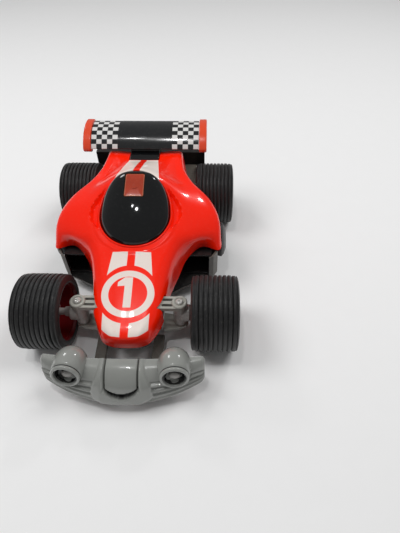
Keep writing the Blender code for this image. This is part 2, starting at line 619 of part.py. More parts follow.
def make_chassis():
    """The tub with its cells, cover, switch, board, deck and rear bumper."""
    solid("chassis_tub", chassis_tub(), "chassis_grey", (0, 0, 0))
    half_bay, bay_front, bay_rear = BATTERY_BAY
    spacing = 2 * (half_bay - CELL_RADIUS - GAP) / 3
    for index in range(4):
        x = (index - 1.5) * spacing
        z = FLOOR_Z[1] + 1 + CELL_RADIUS
        start = bay_front + 1
        jacket = disc("y", (x, z), CELL_RADIUS, start, start + CELL_LENGTH - 1.5, 14)
        terminal = disc("y", (x, z), 2.7, start + CELL_LENGTH - 2, start + CELL_LENGTH, 10)
        solid(f"battery_cell_{index + 1}", join(jacket, terminal), "cell_jacket", (x, 80, z))
    cover = block((-half_bay + GAP, bay_front + GAP, FLOOR_Z[0]),
                  (half_bay - GAP, bay_rear - GAP, FLOOR_Z[1]))
    recess = disc("z", (0, COVER_SCREW_Y), 3.4, FLOOR_Z[0] - 1, FLOOR_Z[0] + 1.2, 14)
    through = disc("z", (0, COVER_SCREW_Y), 1.2, FLOOR_Z[0] - 1, FLOOR_Z[1] + 1, 10)
    take_off = pivot("cover_axis", (0, 80, FLOOR_Z[0]))
    solid("battery_cover", carve(cover, recess, through), "chassis_grey", (0, 80, FLOOR_Z[0]), take_off)
    screw = join(disc("z", (0, COVER_SCREW_Y), 3, FLOOR_Z[0] - 0.3, FLOOR_Z[0] + 0.8, 12),
                 disc("z", (0, COVER_SCREW_Y), 0.8, FLOOR_Z[0], FLOOR_Z[1] + 0.8, 8))
    solid("battery_cover_screw", screw, "steel", (0, COVER_SCREW_Y, FLOOR_Z[0]), take_off)
    slider = join(block((-2.5, 117, FLOOR_Z[0] - 1.5), (2.5, 122.5, FLOOR_Z[1] + 1)),
                  block((-5, 116.5, FLOOR_Z[1] + GAP), (5, 123, FLOOR_Z[1] + 2)))
    solid("switch_slider", slider, "gloss_black", (0, 119.7, FLOOR_Z[0]),
          pivot("switch_axis", (0, 119.7, FLOOR_Z[0])))
    board = join(block((-24, 60, 38), (24, 100, 39.6)), block((-6, 66, 39), (6, 78, 42)),
                 block((10, 82, 39), (18, 90, 44)), disc("z", (-2, 91), 2.5, 39, 52, 12))
    solid("circuit_board", board, "board_green", (0, 80, 38))
    half_width, (front, rear) = DECK_HALF_WIDTH, DECK_Y
    deck = carve(block((-half_width, front, TUB_TOP_Z + GAP), (half_width, rear, DECK_TOP_Z)),
                 block((4 - half_width, front + 2, TUB_TOP_Z - 1),
                       (half_width - 4, rear - 2, DECK_TOP_Z - 2)))
    solid("rear_deck", deck, "arm_grey", (0, 168, TUB_TOP_Z))
    bar = join(block((-60, 193.3, 44), (60, 199, 62)), block((-30, 187.5, 30), (30, 194, 50)))
    solid("rear_bumper", bar, "pod_black", (0, 196, 50))


def side_pod(side):
    """A black duct, open to the front, with a bulge that shows below the shell's edge."""
    def ring(x, grow):
        low_y, high_y = POD_Y[0] - grow, POD_Y[1] + grow
        low_z, high_z = POD_Z[0] - grow, POD_Z[1] + grow
        cut = POD_BEVEL
        return [(x, low_y, low_z + cut), (x, low_y, high_z - cut), (x, low_y + cut, high_z),
                (x, high_y - cut, high_z), (x, high_y, high_z - cut), (x, high_y, low_z + cut),
                (x, high_y - cut, low_z), (x, low_y + cut, low_z)]

    bulge = loft([ring(x, grow) for x, grow in POD_STATIONS])
    duct = join(block((38, 57, FLOOR_Z[1] + GAP), (68, 100, 42)), bulge)
    return flip(carve(duct, block((39.6, 50, 18), (66.4, 84, 40.4))), side)


# --- Body shell ---

def shell_surface(steps_along, steps_across):
    """Rows of points over the shell's outer surface, front to rear, each from one edge to the other."""
    rails = []
    for points in (RAIL_CENTRE, RAIL_HUMP, RAIL_TOP, RAIL_SHOULDER, RAIL_EDGE):
        rails.append(curve_through([Vector(p) for p in points], steps_along))
    rows = []
    for station in zip(*rails):
        right = [Vector((-p.x, p.y, p.z)) for p in reversed(station[1:])]
        rows.append(curve_through(right + list(station), steps_across))
    return rows


def sheet_body(rows, wall):
    """A closed sheet of the given wall, its outer face on the grid of rows."""
    shape = bmesh.new()
    grid = [[shape.verts.new(p) for p in row] for row in rows]
    for near, far in zip(grid, grid[1:]):
        for k in range(len(near) - 1):
            shape.faces.new((near[k], near[k + 1], far[k + 1], far[k]))
    bmesh.ops.recalc_face_normals(shape, faces=shape.faces)
    shape.normal_update()
    if sum(face.normal.z * face.calc_area() for face in shape.faces) < 0:
        bmesh.ops.reverse_faces(shape, faces=shape.faces)
        shape.normal_update()
    return thicken(shape, wall)


def thicken(shape, wall):
    """Close an open sheet with a second face, wall below it."""
    shape.normal_update()
    outer = list(shape.faces)
    border = [edge for edge in shape.edges if len(edge.link_faces) == 1]
    below = {v: shape.verts.new(v.co - v.normal * wall) for v in list(shape.verts)}
    for edge in border:
        face = edge.link_faces[0]
        loop = next(l for l in face.loops if l.edge == edge)
        a, b = loop.vert, loop.link_loop_next.vert
        shape.faces.new((b, a, below[a], below[b]))
    for face in outer:
        shape.faces.new([below[v] for v in reversed(face.verts)])
    return shape


def egg_half_width(y, grow=0.0):
    """Half the canopy's width at y."""
    if y < CANOPY_WIDEST:
        share = (CANOPY_WIDEST - y) / (CANOPY_WIDEST - CANOPY_FRONT + grow)
        power = 1.0
    else:
        share = (y - CANOPY_WIDEST) / (CANOPY_REAR - CANOPY_WIDEST + grow)
        power = CANOPY_REAR_POWER
    return (CANOPY_HALF_WIDTH + grow) * max(0.0, 1 - share * share) ** (power / 2)


def egg_outline(segments, grow=0.0):
    """The canopy's outline from above."""
    points = []
    for i in range(segments):
        angle = 2 * math.pi * i / segments
        reach = CANOPY_WIDEST - CANOPY_FRONT if math.cos(angle) > 0 else CANOPY_REAR - CANOPY_WIDEST
        y = CANOPY_WIDEST - (reach + grow) * math.cos(angle)
        points.append((math.copysign(egg_half_width(y, grow), math.sin(angle)), y))
    return points


def canopy_edge_z(y):
    """Height of the canopy's edge at y."""
    share = (y - CANOPY_FRONT) / (CANOPY_REAR - CANOPY_FRONT)
    return CANOPY_EDGE_Z + CANOPY_EDGE_SLOPE * (y - CANOPY_FRONT) + CANOPY_EDGE_KICK * share ** 3


def canopy_point(edge_point, radius_share):
    """A point of the dome, a share of the way from its middle to a point of its outline."""
    x = edge_point[0] * radius_share
    y = CANOPY_WIDEST + (edge_point[1] - CANOPY_WIDEST) * radius_share
    return Vector((x, y, canopy_edge_z(y) + CANOPY_DOME * math.sqrt(1 - radius_share ** 2)))


def canopy():
    """The dome with its skirt, as a sheet with a wall."""
    shape = bmesh.new()
    outline = egg_outline(24)
    rings = []
    for radius_share in (1, 0.95, 0.82, 0.62, 0.35):
        rings.append([shape.verts.new(canopy_point(p, radius_share)) for p in outline])
    skirt = [shape.verts.new(v.co - Vector((0, 0, CANOPY_SKIRT))) for v in rings[0]]
    rings.insert(0, skirt)
    count = len(outline)
    for lower, upper in zip(rings, rings[1:]):
        for i in range(count):
            j = (i + 1) % count
            shape.faces.new((lower[i], lower[j], upper[j], upper[i]))
    top = shape.verts.new(canopy_point((0, CANOPY_WIDEST), 0))
    for i in range(count):
        shape.faces.new((rings[-1][i], rings[-1][(i + 1) % count], top))
    bmesh.ops.recalc_face_normals(shape, faces=shape.faces)
    shape.normal_update()
    if top.normal.z < 0:
        bmesh.ops.reverse_faces(shape, faces=shape.faces)
    return thicken(shape, CANOPY_WALL)


def canopy_share(x, y):
    """How far out a point lies, from 0 at the canopy's middle to 1 on its outline."""
    low, high = 0.01, 1.0
    for _ in range(24):
        share = (low + high) / 2
        if abs(x) >= share * egg_half_width(CANOPY_WIDEST + (y - CANOPY_WIDEST) / share):
            low = share
        else:
            high = share
    return high


def dome_height(x, y):
    """Height of the canopy's outer face above a point inside its outline."""
    return canopy_edge_z(y) + CANOPY_DOME * math.sqrt(1 - canopy_share(x, y) ** 2)


def window_body(grow, top, bottom):
    """A patch over the canopy's top rear, between two offsets from the dome's face."""
    half_width, front, rear = WINDOW
    columns = [-half_width - grow, -half_width / 2, 0, half_width / 2, half_width + grow]
    rings = []
    for step in range(5):
        y = front - grow + (rear - front + 2 * grow) * step / 4
        upper = [(x, y, dome_height(x, y) + top) for x in columns]
        lower = [(x, y, dome_height(x, y) + bottom) for x in reversed(columns)]
        rings.append(upper + lower)
    return loft(rings)


def make_body():
    """Shell, canopy, window, side pods."""
    shell = sheet_body(shell_surface(2, 2), SHELL_WALL)
    egg = prism(egg_outline(24, 2 * GAP), "z", 30, 120)
    pylon_notch = block((-PYLON_HALF_WIDTH - GAP, 150, 60), (PYLON_HALF_WIDTH + GAP, 180, 100))
    arm_notch = block((-60, -7, 20), (60, 7, UPPER_ARM_Z[1] + 0.8))
    shell = carve(shell, egg, pylon_notch, arm_notch)
    solid("body_shell", shell, "shell_red", (0, WHEELBASE / 2, 60))
    dome = carve(canopy(), window_body(GAP, 3, -WINDOW_DEPTH - GAP))
    middle = (0, CANOPY_WIDEST, canopy_edge_z(CANOPY_WIDEST))
    solid("canopy", dome, "gloss_black", middle)
    solid("signal_window", window_body(0, 0.2, -WINDOW_DEPTH), "signal_red", middle)
    for name, side in SIDES.items():
        solid("side_pod_" + name, side_pod(side), "pod_black", (side * 60, 84, 30))


# --- Wing ---

def wing_point(radius, degrees):
    """A point on an arc about the wing's centre, as y and z."""
    angle = math.radians(degrees)
    return (WING_CENTRE[0] - radius * math.cos(angle), WING_CENTRE[1] + radius * math.sin(angle))


def arc_band(outer, inner, start, end, steps):
    """Outline of a curved band between two radii about the wing's centre."""
    angles = [start + (end - start) * i / steps for i in range(steps + 1)]
    return [wing_point(outer, a) for a in angles] + [wing_point(inner, a) for a in reversed(angles)]


def make_wing():
    """Blade, end plates and pylon."""
    start, end = WING_ARC
    blade = prism(arc_band(WING_RADIUS, WING_RADIUS - WING_THICKNESS, start, end, 8), "x",
                  -WING_HALF_SPAN, WING_HALF_SPAN)
    middle = (0, *wing_point(WING_RADIUS, (start + end) / 2))
    solid("wing_blade", blade, "gloss_black", middle)
    for name, side in SIDES.items():
        near = side * (WING_HALF_SPAN + GAP)
        far = side * (WING_HALF_SPAN + ENDPLATE_THICKNESS)
        outline = arc_band(WING_RADIUS + ENDPLATE_MARGIN, WING_RADIUS - ENDPLATE_DEPTH,
                           start - ENDPLATE_OVERHANG[0], end + ENDPLATE_OVERHANG[1], 8)
        plate = prism(outline, "x", min(near, far), max(near, far))
        solid("endplate_" + name, plate, "endplate_red", (near, middle[1], middle[2]))
    seat = [wing_point(WING_RADIUS - WING_THICKNESS - GAP, angle) for angle in PYLON_SEAT]
    side_view = PYLON_FRONT + seat + PYLON_REAR
    solid("wing_pylon", prism(side_view, "x", -PYLON_HALF_WIDTH, PYLON_HALF_WIDTH), "gloss_black",
          (0, 165, 70))


# --- Bumper ---

def bumper_ring(x):
    """The bumper's section at x: towards the ends it gets shallower and lower."""
    share = abs(x) / BUMPER_HALF_WIDTH
    top_y, top_z = BUMPER_SECTION[0]
    bottom_z = BUMPER_SECTION[4][1]
    depth = 1 - BUMPER_END_SWEEP * share ** BUMPER_END_POWER
    low = bottom_z + BUMPER_END_RISE * share ** 2
    high = top_z + BUMPER_END_LIFT * share ** 2
    back = top_y + BUMPER_END_BACK * share ** 2
    return [(x, back + (y - top_y) * depth, low + (high - low) * (z - bottom_z) / (top_z - bottom_z))
            for y, z in BUMPER_SECTION]


def bumper_clearance(x):
    """The bumper's section at x, carried far forward and its back face moved by the gap."""
    ring = bumper_ring(x)
    front_count = len(BUMPER_SECTION) // 2 + 1
    front = [(px, py - 20, pz) for px, py, pz in ring[:front_count]]
    back = [(px, py + GAP, pz) for px, py, pz in ring[front_count:]]
    return front + back


def lamp_axis():
    """Direction in which a headlamp points."""
    return Vector((0, -math.cos(LENS_TILT), math.sin(LENS_TILT)))


def lamp_body(stations, segments):
    """A round body on the +X headlamp's axis; a station is (reach in front of the lens, radius)."""
    axis = lamp_axis()
    across = Vector((1, 0, 0))
    up = across.cross(axis)
    rings = []
    for reach, radius in stations:
        centre = Vector(LENS_CENTRE) + axis * reach
        rings.append([centre + across * c + up * s for c, s in circle((0, 0), radius, segments)])
    return loft(rings)


def lamp_disc(radius, start, end):
    """A cylinder on the +X headlamp's axis, from start to end in front of the lens centre."""
    return lamp_body([(start, radius), (end, radius)], 16)


def lamp_pod():
    """The rounded pod of the +X headlamp."""
    shape = bmesh.new()
    bmesh.ops.create_uvsphere(shape, u_segments=16, v_segments=9, radius=1)
    bmesh.ops.rotate(shape, cent=(0, 0, 0), matrix=Matrix.Rotation(math.pi / 2, 3, "X"), verts=shape.verts)
    bmesh.ops.scale(shape, vec=POD_RADII, verts=shape.verts)
    bmesh.ops.translate(shape, vec=POD_CENTRE, verts=shape.verts)
    return shape


def make_bumper():
    """Beam with pods, the lamps in them, and the two arms to the chassis."""
    beam = loft([bumper_ring(BUMPER_HALF_WIDTH * share) for share in BUMPER_STATIONS])
    for side in (1, -1):
        barrel = lamp_disc(LENS_RADIUS + LENS_RIM, -CUP_DEPTH - 1, 0)
        beam = join(beam, flip(lamp_pod(), side), flip(barrel, side))
        beam = carve(beam, flip(lamp_disc(LENS_RADIUS, -CUP_DEPTH, 5), side))
    solid("bumper", beam, "bumper_grey", (0, -60, 22))
    for name, side in SIDES.items():
        cup = carve(lamp_disc(LENS_RADIUS - GAP, -CUP_DEPTH + GAP, -1),
                    lamp_disc(LENS_RADIUS - GAP - CUP_WALL, -CUP_DEPTH + CUP_WALL + GAP, 1))
        centre = (side * LENS_CENTRE[0], LENS_CENTRE[1], LENS_CENTRE[2])
        solid("headlamp_cup_" + name, flip(cup, side), "pod_black", centre)
        solid("headlamp_bulb_" + name, flip(lamp_body(BULB, 10), side), "lamp_grey", centre)
        arm = prism(BUMPER_ARM, "z", BUMPER_ARM_BASE_Z, FLOOR_Z[0] - GAP)
        arm = carve(arm, loft([bumper_clearance(x) for x in (10, 20, 30, 40)]))
        solid("bumper_arm_" + name, flip(arm, side), "chassis_grey", (side * 23, -30, 11))


def main():
    for leftover in list(bpy.data.objects):
        bpy.data.objects.remove(leftover)
    make_chassis()
    make_body()
    make_steering()
    make_drive()
    make_wing()
    make_bumper()


main()
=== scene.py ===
"""Looks for the toy radio control racing car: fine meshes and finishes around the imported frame.

Shapes are drawn in millimetres, with y measured rearward from the front axle and z from the floor, and
piece() moves them into the frame. The car faces -Y and +X is the driver's left.
"""

import json
import math

import bmesh
import bpy
from mathutils import Matrix, Vector
from mathutils.bvhtree import BVHTree

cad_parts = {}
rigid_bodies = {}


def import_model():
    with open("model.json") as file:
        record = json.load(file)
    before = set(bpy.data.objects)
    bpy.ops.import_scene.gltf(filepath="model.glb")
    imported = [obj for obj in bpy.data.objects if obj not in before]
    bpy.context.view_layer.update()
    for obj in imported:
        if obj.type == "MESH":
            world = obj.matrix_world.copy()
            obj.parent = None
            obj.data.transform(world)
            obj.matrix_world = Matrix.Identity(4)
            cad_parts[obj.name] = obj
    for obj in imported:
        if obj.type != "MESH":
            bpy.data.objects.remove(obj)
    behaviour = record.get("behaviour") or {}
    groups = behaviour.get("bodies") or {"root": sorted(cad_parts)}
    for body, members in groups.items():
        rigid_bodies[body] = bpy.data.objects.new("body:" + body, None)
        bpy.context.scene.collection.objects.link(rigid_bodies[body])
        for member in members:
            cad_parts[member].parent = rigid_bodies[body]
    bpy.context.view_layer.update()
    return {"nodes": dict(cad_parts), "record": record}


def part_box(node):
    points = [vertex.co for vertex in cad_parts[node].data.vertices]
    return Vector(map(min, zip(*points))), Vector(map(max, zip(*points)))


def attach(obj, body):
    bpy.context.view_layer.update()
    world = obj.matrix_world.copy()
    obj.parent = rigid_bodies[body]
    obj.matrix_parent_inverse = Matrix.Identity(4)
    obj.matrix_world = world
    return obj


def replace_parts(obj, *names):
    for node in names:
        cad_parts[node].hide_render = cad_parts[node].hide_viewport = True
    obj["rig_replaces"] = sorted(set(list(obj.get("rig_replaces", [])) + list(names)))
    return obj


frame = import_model()

MM = 0.001
SIDES = {"left": 1, "right": -1}
SIDEWAYS = Vector((1, 0, 0))
UPWARD = Vector((0, 0, 1))
GAP = 0.4                        # clearance between neighbouring pieces
RECORD = frame["record"]
BODY_OF = {n: body for body, nodes in RECORD["behaviour"]["bodies"].items() for n in nodes}
SLOT_OF = {row["node"]: row["material_slot"] for row in RECORD["subparts"]}


def middle(node):
    """The centre of a CAD node's box, in millimetres of the frame."""
    low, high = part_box(node)
    return (low + high) / 2 / MM


def top_of(node):
    """The height of a CAD node's top."""
    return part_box(node)[1].z / MM


def bottom_of(node):
    """The height of a CAD node's underside."""
    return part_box(node)[0].z / MM


FRONT_Y = middle("front_left_tyre").y
WHEELBASE = middle("rear_left_tyre").y - FRONT_Y
AXLE_Z = middle("front_left_tyre").z
KINGPIN_X = middle("kingpin_screw_left").x

# Canopy outline
CANOPY_FRONT = 46
CANOPY_WIDEST = 73.5
CANOPY_REAR = 106.5
CANOPY_HALF_WIDTH = 30.6
CANOPY_REAR_POWER = 0.7
CANOPY_DOME = 18.2
CANOPY_EDGE_Z = 63.1
CANOPY_EDGE_SLOPE = 0.3
CANOPY_EDGE_KICK = 13.7
CANOPY_HALF_LENGTH = 28          # for the slope of the dome
CANOPY_WALL = 1.8
CANOPY_FIT = 0.6                 # how far the dome reaches into the gap round it
WINDOW = (8.4, 78.8, 101)

# Wing
WING_CENTRE = (187.7, 65.6)
WING_RADIUS = 33
WING_ARC = (38, 106)
WING_HALF_SPAN = 54.4
ENDPLATE_THICKNESS = 8

# Bumper
BUMPER_HALF_WIDTH = 63.3
BUMPER_SECTION = [(-46, 35), (-55, 33.5), (-63, 27), (-68, 18), (-70.4, 9), (-64, 9), (-61, 17),
                  (-56, 24), (-48, 31)]
BUMPER_END_SWEEP = 0.6
BUMPER_END_RISE = 7
BUMPER_END_LIFT = 2
BUMPER_END_BACK = 3
BUMPER_END_POWER = 2.2
BUMPER_END_ROUND = 2.6
LENS_CENTRE = (41.2, -60.8, 33.6)
LENS_TILT = math.radians(10)
LENS_TOE = math.radians(4)

# Body shell rails
RAIL_CENTRE = [(0, -33, 29), (0, -33, 37.5), (0, -30, 43.2), (0, -15, 47.7), (0, 3, 52.9),
               (0, 20, 57.8), (0, 37, 62.6), (0, 47, 65.5), (0, 60, 70), (0, 79, 77),
               (0, 93, 90), (0, 107, 98.5), (0, 122, 93.5), (0, 137, 86.8), (0, 150, 80.8),
               (0, 166, 79.5)]
RAIL_HUMP = [(6, -32.8, 29), (6, -32.7, 37.5), (7, -29.6, 43.2), (10, -15, 47.6), (12, 3, 52.8),
             (13, 20, 57.7), (15, 37, 62.5), (18, 47, 65.4), (22, 60, 70.2), (24, 77, 76.5),
             (22, 91, 85), (18, 106, 93), (17.5, 122, 89), (17, 137, 84.5), (16.5, 150, 81),
             (16.5, 166, 80)]
RAIL_TOP = [(12, -31.8, 29), (12, -31.5, 37), (13.5, -28, 43), (20, -14, 46.8), (23, 3, 51.8),
            (25, 20, 56.6), (29, 37, 61.4), (34, 48, 64.6), (40, 59, 69), (43, 76, 74.5),
            (44, 90, 78), (41, 106, 80.5), (34, 122, 80.5), (32, 137, 80.8), (30, 151, 81),
            (29, 166, 81)]
RAIL_SHOULDER = [(19, -28, 29), (19.5, -27, 36), (22.5, -20.5, 40.5), (27.5, -9, 42.5), (29.5, 5, 46.5),
                 (32.5, 22, 50), (36.5, 38, 54), (43, 50, 57), (55, 60, 60), (70, 72, 61),
                 (72, 87, 65.5), (65, 105, 69.5), (50, 122, 74), (42, 137, 76.5), (39, 151, 78),
                 (37.5, 166, 78.5)]
RAIL_EDGE = [(24, -20, 29), (25.8, -16, 29), (28, -10, 29.5), (30, -1, 31), (31.5, 11, 33),
             (34.5, 25, 32), (39, 39, 33), (46, 53, 41), (59, 64.5, 45.5), (75.5, 62, 44.5),
             (76.5, 80, 46), (70.5, 104, 45), (54.5, 121, 45), (48.5, 137, 47), (44.5, 151, 54),
             (41, 166, 54)]
SHELL_WALL = 1.8


# --- Finishes ---

MIX_FIRST, MIX_SECOND, MIX_RESULT = 6, 7, 2      # the mix node's colour sockets
DUST = (0.45, 0.43, 0.40)


class Value:
    """A shader socket that takes part in arithmetic, so that masks read like formulas."""

    def __init__(self, tree, socket):
        self.tree = tree
        self.socket = socket

    def apply(self, operation, *others):
        node = self.tree.nodes.new("ShaderNodeMath")
        node.operation = operation
        for index, item in enumerate((self,) + others):
            if isinstance(item, Value):
                self.tree.links.new(item.socket, node.inputs[index])
            else:
                node.inputs[index].default_value = item
        return Value(self.tree, node.outputs[0])

    def __add__(self, other):
        return self.apply("ADD", other)

    def __sub__(self, other):
        return self.apply("SUBTRACT", other)

    def __mul__(self, other):
        return self.apply("MULTIPLY", other)

    __radd__ = __add__
    __rmul__ = __mul__

    def __rsub__(self, other):
        return self * -1 + other

    def absolute(self):
        return self.apply("ABSOLUTE")

    def above(self, edge, soft=0.2):
        """1 where the value is over edge, with a soft border."""
        node = self.tree.nodes.new("ShaderNodeMapRange")
        node.interpolation_type = "SMOOTHSTEP"
        self.tree.links.new(self.socket, node.inputs["Value"])
        for name, offset in (("From Min", -soft), ("From Max", soft)):
            if isinstance(edge, Value):
                self.tree.links.new((edge + offset).socket, node.inputs[name])
            else:
                node.inputs[name].default_value = edge + offset
        return Value(self.tree, node.outputs["Result"])

    def between(self, low, high, soft=0.2):
        return self.above(low, soft) * (1 - self.above(high, soft))


class Finish:
    """A moulded material built up in layers. x, y and z are in drawing millimetres."""

    def __init__(self, name, colour, roughness, variation=0.08, grain=1.0, dust=0.04, **constants):
        self.material = bpy.data.materials.new(name)
        self.material.use_nodes = True
        self.tree = self.material.node_tree
        self.shader = self.tree.nodes["Principled BSDF"]
        for socket, value in constants.items():
            self.shader.inputs[socket.replace("_", " ")].default_value = value
        self.coordinates = self.tree.nodes.new("ShaderNodeTexCoord").outputs["Object"]
        split = self.tree.nodes.new("ShaderNodeSeparateXYZ")
        self.tree.links.new(self.coordinates, split.inputs[0])
        self.x = Value(self.tree, split.outputs["X"]) * (1 / MM)
        self.y = Value(self.tree, split.outputs["Y"]) * (1 / MM) - FRONT_Y
        self.z = Value(self.tree, split.outputs["Z"]) * (1 / MM)
        self.material.diffuse_color = (*colour, 1)
        dark = [c * (1 - variation) for c in colour]
        light = [min(1, c * (1 + variation)) for c in colour]
        self.colour = self.mix(self.noise(60, 3), self.constant(dark), self.constant(light))
        self.rough = self.noise(140, 4) * (2 * variation) + (roughness - variation)
        self.height = self.noise(900 * grain, 2) * 0.35 + self.noise(160, 3) * 0.65
        self.depth = 0.02
        normal = self.tree.nodes.new("ShaderNodeNewGeometry").outputs["Normal"]
        up = self.tree.nodes.new("ShaderNodeSeparateXYZ")
        self.tree.links.new(normal, up.inputs[0])
        self.up = Value(self.tree, up.outputs["Z"])
        self.dusted = dust

    def constant(self, colour):
        node = self.tree.nodes.new("ShaderNodeRGB")
        node.outputs[0].default_value = (*colour, 1)
        return node.outputs[0]

    def noise(self, scale, detail, rough=0.55):
        """Noise over the surface; scale is in turns per metre."""
        node = self.tree.nodes.new("ShaderNodeTexNoise")
        node.inputs["Scale"].default_value = scale
        node.inputs["Detail"].default_value = detail
        node.inputs["Roughness"].default_value = rough
        self.tree.links.new(self.coordinates, node.inputs["Vector"])
        return Value(self.tree, node.outputs[0])

    def mix(self, mask, first, second):
        node = self.tree.nodes.new("ShaderNodeMix")
        node.data_type = "RGBA"
        self.tree.links.new(mask.socket, node.inputs["Factor"])
        self.tree.links.new(first, node.inputs[MIX_FIRST])
        self.tree.links.new(second, node.inputs[MIX_SECOND])
        return node.outputs[MIX_RESULT]

    def paint(self, mask, colour, roughness=None):
        """Lay a colour over what is there, where the mask is 1."""
        self.colour = self.mix(mask, self.colour, self.constant(colour))
        if roughness is not None:
            self.rough = self.rough * (1 - mask) + mask * roughness
        return self

    def attribute(self, name):
        node = self.tree.nodes.new("ShaderNodeAttribute")
        node.attribute_name = name
        return Value(self.tree, node.outputs["Fac"])

    def worn(self, colour, amount):
        """Lighter, rubbed edges."""
        point = self.tree.nodes.new("ShaderNodeNewGeometry").outputs["Pointiness"]
        edge = Value(self.tree, point).above(0.56, 0.05) * self.noise(300, 4).above(0.5, 0.15)
        return self.paint(edge * amount, colour)

    def done(self):
        """Add the dust and link everything to the shader."""
        specks = self.noise(420, 5, rough=0.7).above(0.62, 0.1) * self.up.above(0.35, 0.5)
        self.paint(specks * self.dusted, DUST, 0.6)
        self.tree.links.new(self.colour, self.shader.inputs["Base Color"])
        self.tree.links.new(self.rough.socket, self.shader.inputs["Roughness"])
        bump = self.tree.nodes.new("ShaderNodeBump")
        bump.inputs["Strength"].default_value = 1.0
        bump.inputs["Distance"].default_value = self.depth * MM
        self.tree.links.new(self.height.socket, bump.inputs["Height"])
        self.tree.links.new(bump.outputs[0], self.shader.inputs["Normal"])
        return self.material


WHITE_INK = (0.82, 0.72, 0.66)
RING_Y = 3.4
RING_STRETCH = 1.1               # the ring is printed shorter than it is wide
RING_RADII = (15.9, 21.7)
RING_CLEARANCE = 24.4            # where the stripes stop, measured from the ring's middle
STRIPE_INNER_X = 3.3
STEM_X, STEM_Y = (-3.2, 3.2), (-8.1, 17.3)
FLAG_X = (-8.9, -3.0)


def shell_finish():
    """Glossy orange-red plastic with the ring, the numeral and the stripes printed on it."""
    f = Finish("shell_red", (0.97, 0.014, 0.0005), 0.22, variation=0.03, dust=0.03,
               Coat_Weight=0.45, Coat_Roughness=0.04, Specular_IOR_Level=0.2)
    side = f.x.absolute()
    along = f.y - RING_Y
    stretched = along * RING_STRETCH
    ring = (f.x * f.x + stretched * stretched).apply("SQRT").between(*RING_RADII)
    stem = f.x.between(*STEM_X) * f.y.between(*STEM_Y)
    flag = f.x.between(*FLAG_X) * f.y.above(f.x * 0.1 + 10.4) * (1 - f.y.above(f.x * 0.75 + 19.7))
    outside = (f.x * f.x + along * along).apply("SQRT").above(RING_CLEARANCE)
    front_pair = (side.between(STRIPE_INNER_X, f.y * 0.03 + 19.2) * f.z.above(42.3)
                  * (1 - f.y.above(-10)) * outside)
    rear_pair = side.between(STRIPE_INNER_X, 21.2 - f.y * 0.12) * f.y.between(14, 40) * outside
    hump = side.between(3.0, 33 - f.y * 0.125) * f.y.between(96, 149.5) * f.z.above(76)
    printed = (ring + stem).apply("MAXIMUM", flag) + front_pair + rear_pair + hump
    printed = printed.apply("MINIMUM", 1.0)
    faded = f.noise(500, 4).above(0.66, 0.1) * 0.12
    f.paint(printed * (1 - faded), WHITE_INK, 0.3)
    f.height = f.height + printed * 0.6
    return f.done()


CHEQUER_ROWS, CHEQUER_COLUMNS = 8, 5
CHEQUER_START = 27.5
CHEQUER_PITCH = 5.38


def wing_finish():
    """Gloss black with a chequered block at each end."""
    f = Finish("wing_black", (0.010, 0.011, 0.012), 0.16, variation=0.03, Coat_Weight=0.5,
               Coat_Roughness=0.08)
    start, end = WING_ARC
    rise = (f.z - WING_CENTRE[1]).apply("ARCTAN2", WING_CENTRE[0] - f.y) * (180 / math.pi)
    row = (rise - start) * (CHEQUER_ROWS / (end - start))
    column = (f.x.absolute() - CHEQUER_START) * (1 / CHEQUER_PITCH)
    cell = (row.apply("FLOOR") + column.apply("FLOOR")).apply("FLOORED_MODULO", 2.0)
    corner = (row.apply("FRACT") - 0.5).absolute().apply(
        "MAXIMUM", (column.apply("FRACT") - 0.5).absolute())
    block = cell.between(-0.5, 0.5, 0.05) * (1 - corner.above(0.49, 0.02))
    area = column.between(0, CHEQUER_COLUMNS, 0.02) * row.between(0, CHEQUER_ROWS, 0.02)
    f.paint(block * area, (0.68, 0.68, 0.66), 0.3)
    return f.done()


def window_finish():
    """Dark red window with flakes in it."""
    f = Finish("signal_red", (0.36, 0.036, 0.012), 0.16, variation=0.25, Coat_Weight=0.6,
               Coat_Roughness=0.05)
    flakes = f.noise(1500, 2, rough=0.8).above(0.66, 0.03)
    f.paint(flakes * 0.25, (0.62, 0.26, 0.16), 0.2)
    half, front, rear = WINDOW
    middle_y = (front + rear) / 2
    border = (f.x.absolute() - half).apply("MAXIMUM", (f.y - middle_y).absolute() - (rear - front) / 2)
    f.paint(border.above(-0.75, 0.15) * 0.5, (0.55, 0.22, 0.12))
    return f.done()


def bumper_finish():
    """Grey gloss plastic, with painted shade in the grooves beside the panel and in the slot under it."""
    f = Finish("bumper_grey", (0.255, 0.262, 0.245), 0.24, variation=0.04, dust=0.05,
               Coat_Weight=0.9, Coat_Roughness=0.05)
    # painted shade: the 'groove' attribute darkens the slot and the grooves beside the panel
    f.paint(f.attribute("groove"), (0.006, 0.006, 0.006), 0.6)
    f.worn((0.40, 0.41, 0.40), 0.35)
    return f.done()


def tyre_finish():
    """Soft black plastic with a grey sheen on the rubbed ribs."""
    f = Finish("tyre_black", (0.0115, 0.0115, 0.012), 0.46, variation=0.07, grain=1.4, dust=0.07,
               Sheen_Weight=0.05, Sheen_Roughness=0.4)
    f.depth = 0.05
    f.worn((0.035, 0.034, 0.033), 0.4)
    return f.done()


def chassis_finish():
    """Dark grey plastic, with painted shade on the floor inside the intakes."""
    f = Finish("chassis_grey", (0.085, 0.077, 0.066), 0.42, dust=0.08)
    # painted shade: the up-facing floor deep inside each intake is painted black where shade falls
    inside = f.up.above(0.5) * f.z.between(15, 18) * f.y.between(26, 66) * f.x.absolute().above(29.5)
    f.paint(inside, (0.012, 0.012, 0.012))
    f.worn((0.14, 0.13, 0.12), 0.3)
    return f.done()


def plain(name, colour, roughness, wear, **options):
    """Moulded plastic or metal of one colour, rubbed lighter on its edges."""
    f = Finish(name, colour, roughness, **options)
    f.worn([min(1, c * 1.6 + 0.02) for c in colour], wear)
    return f.done()


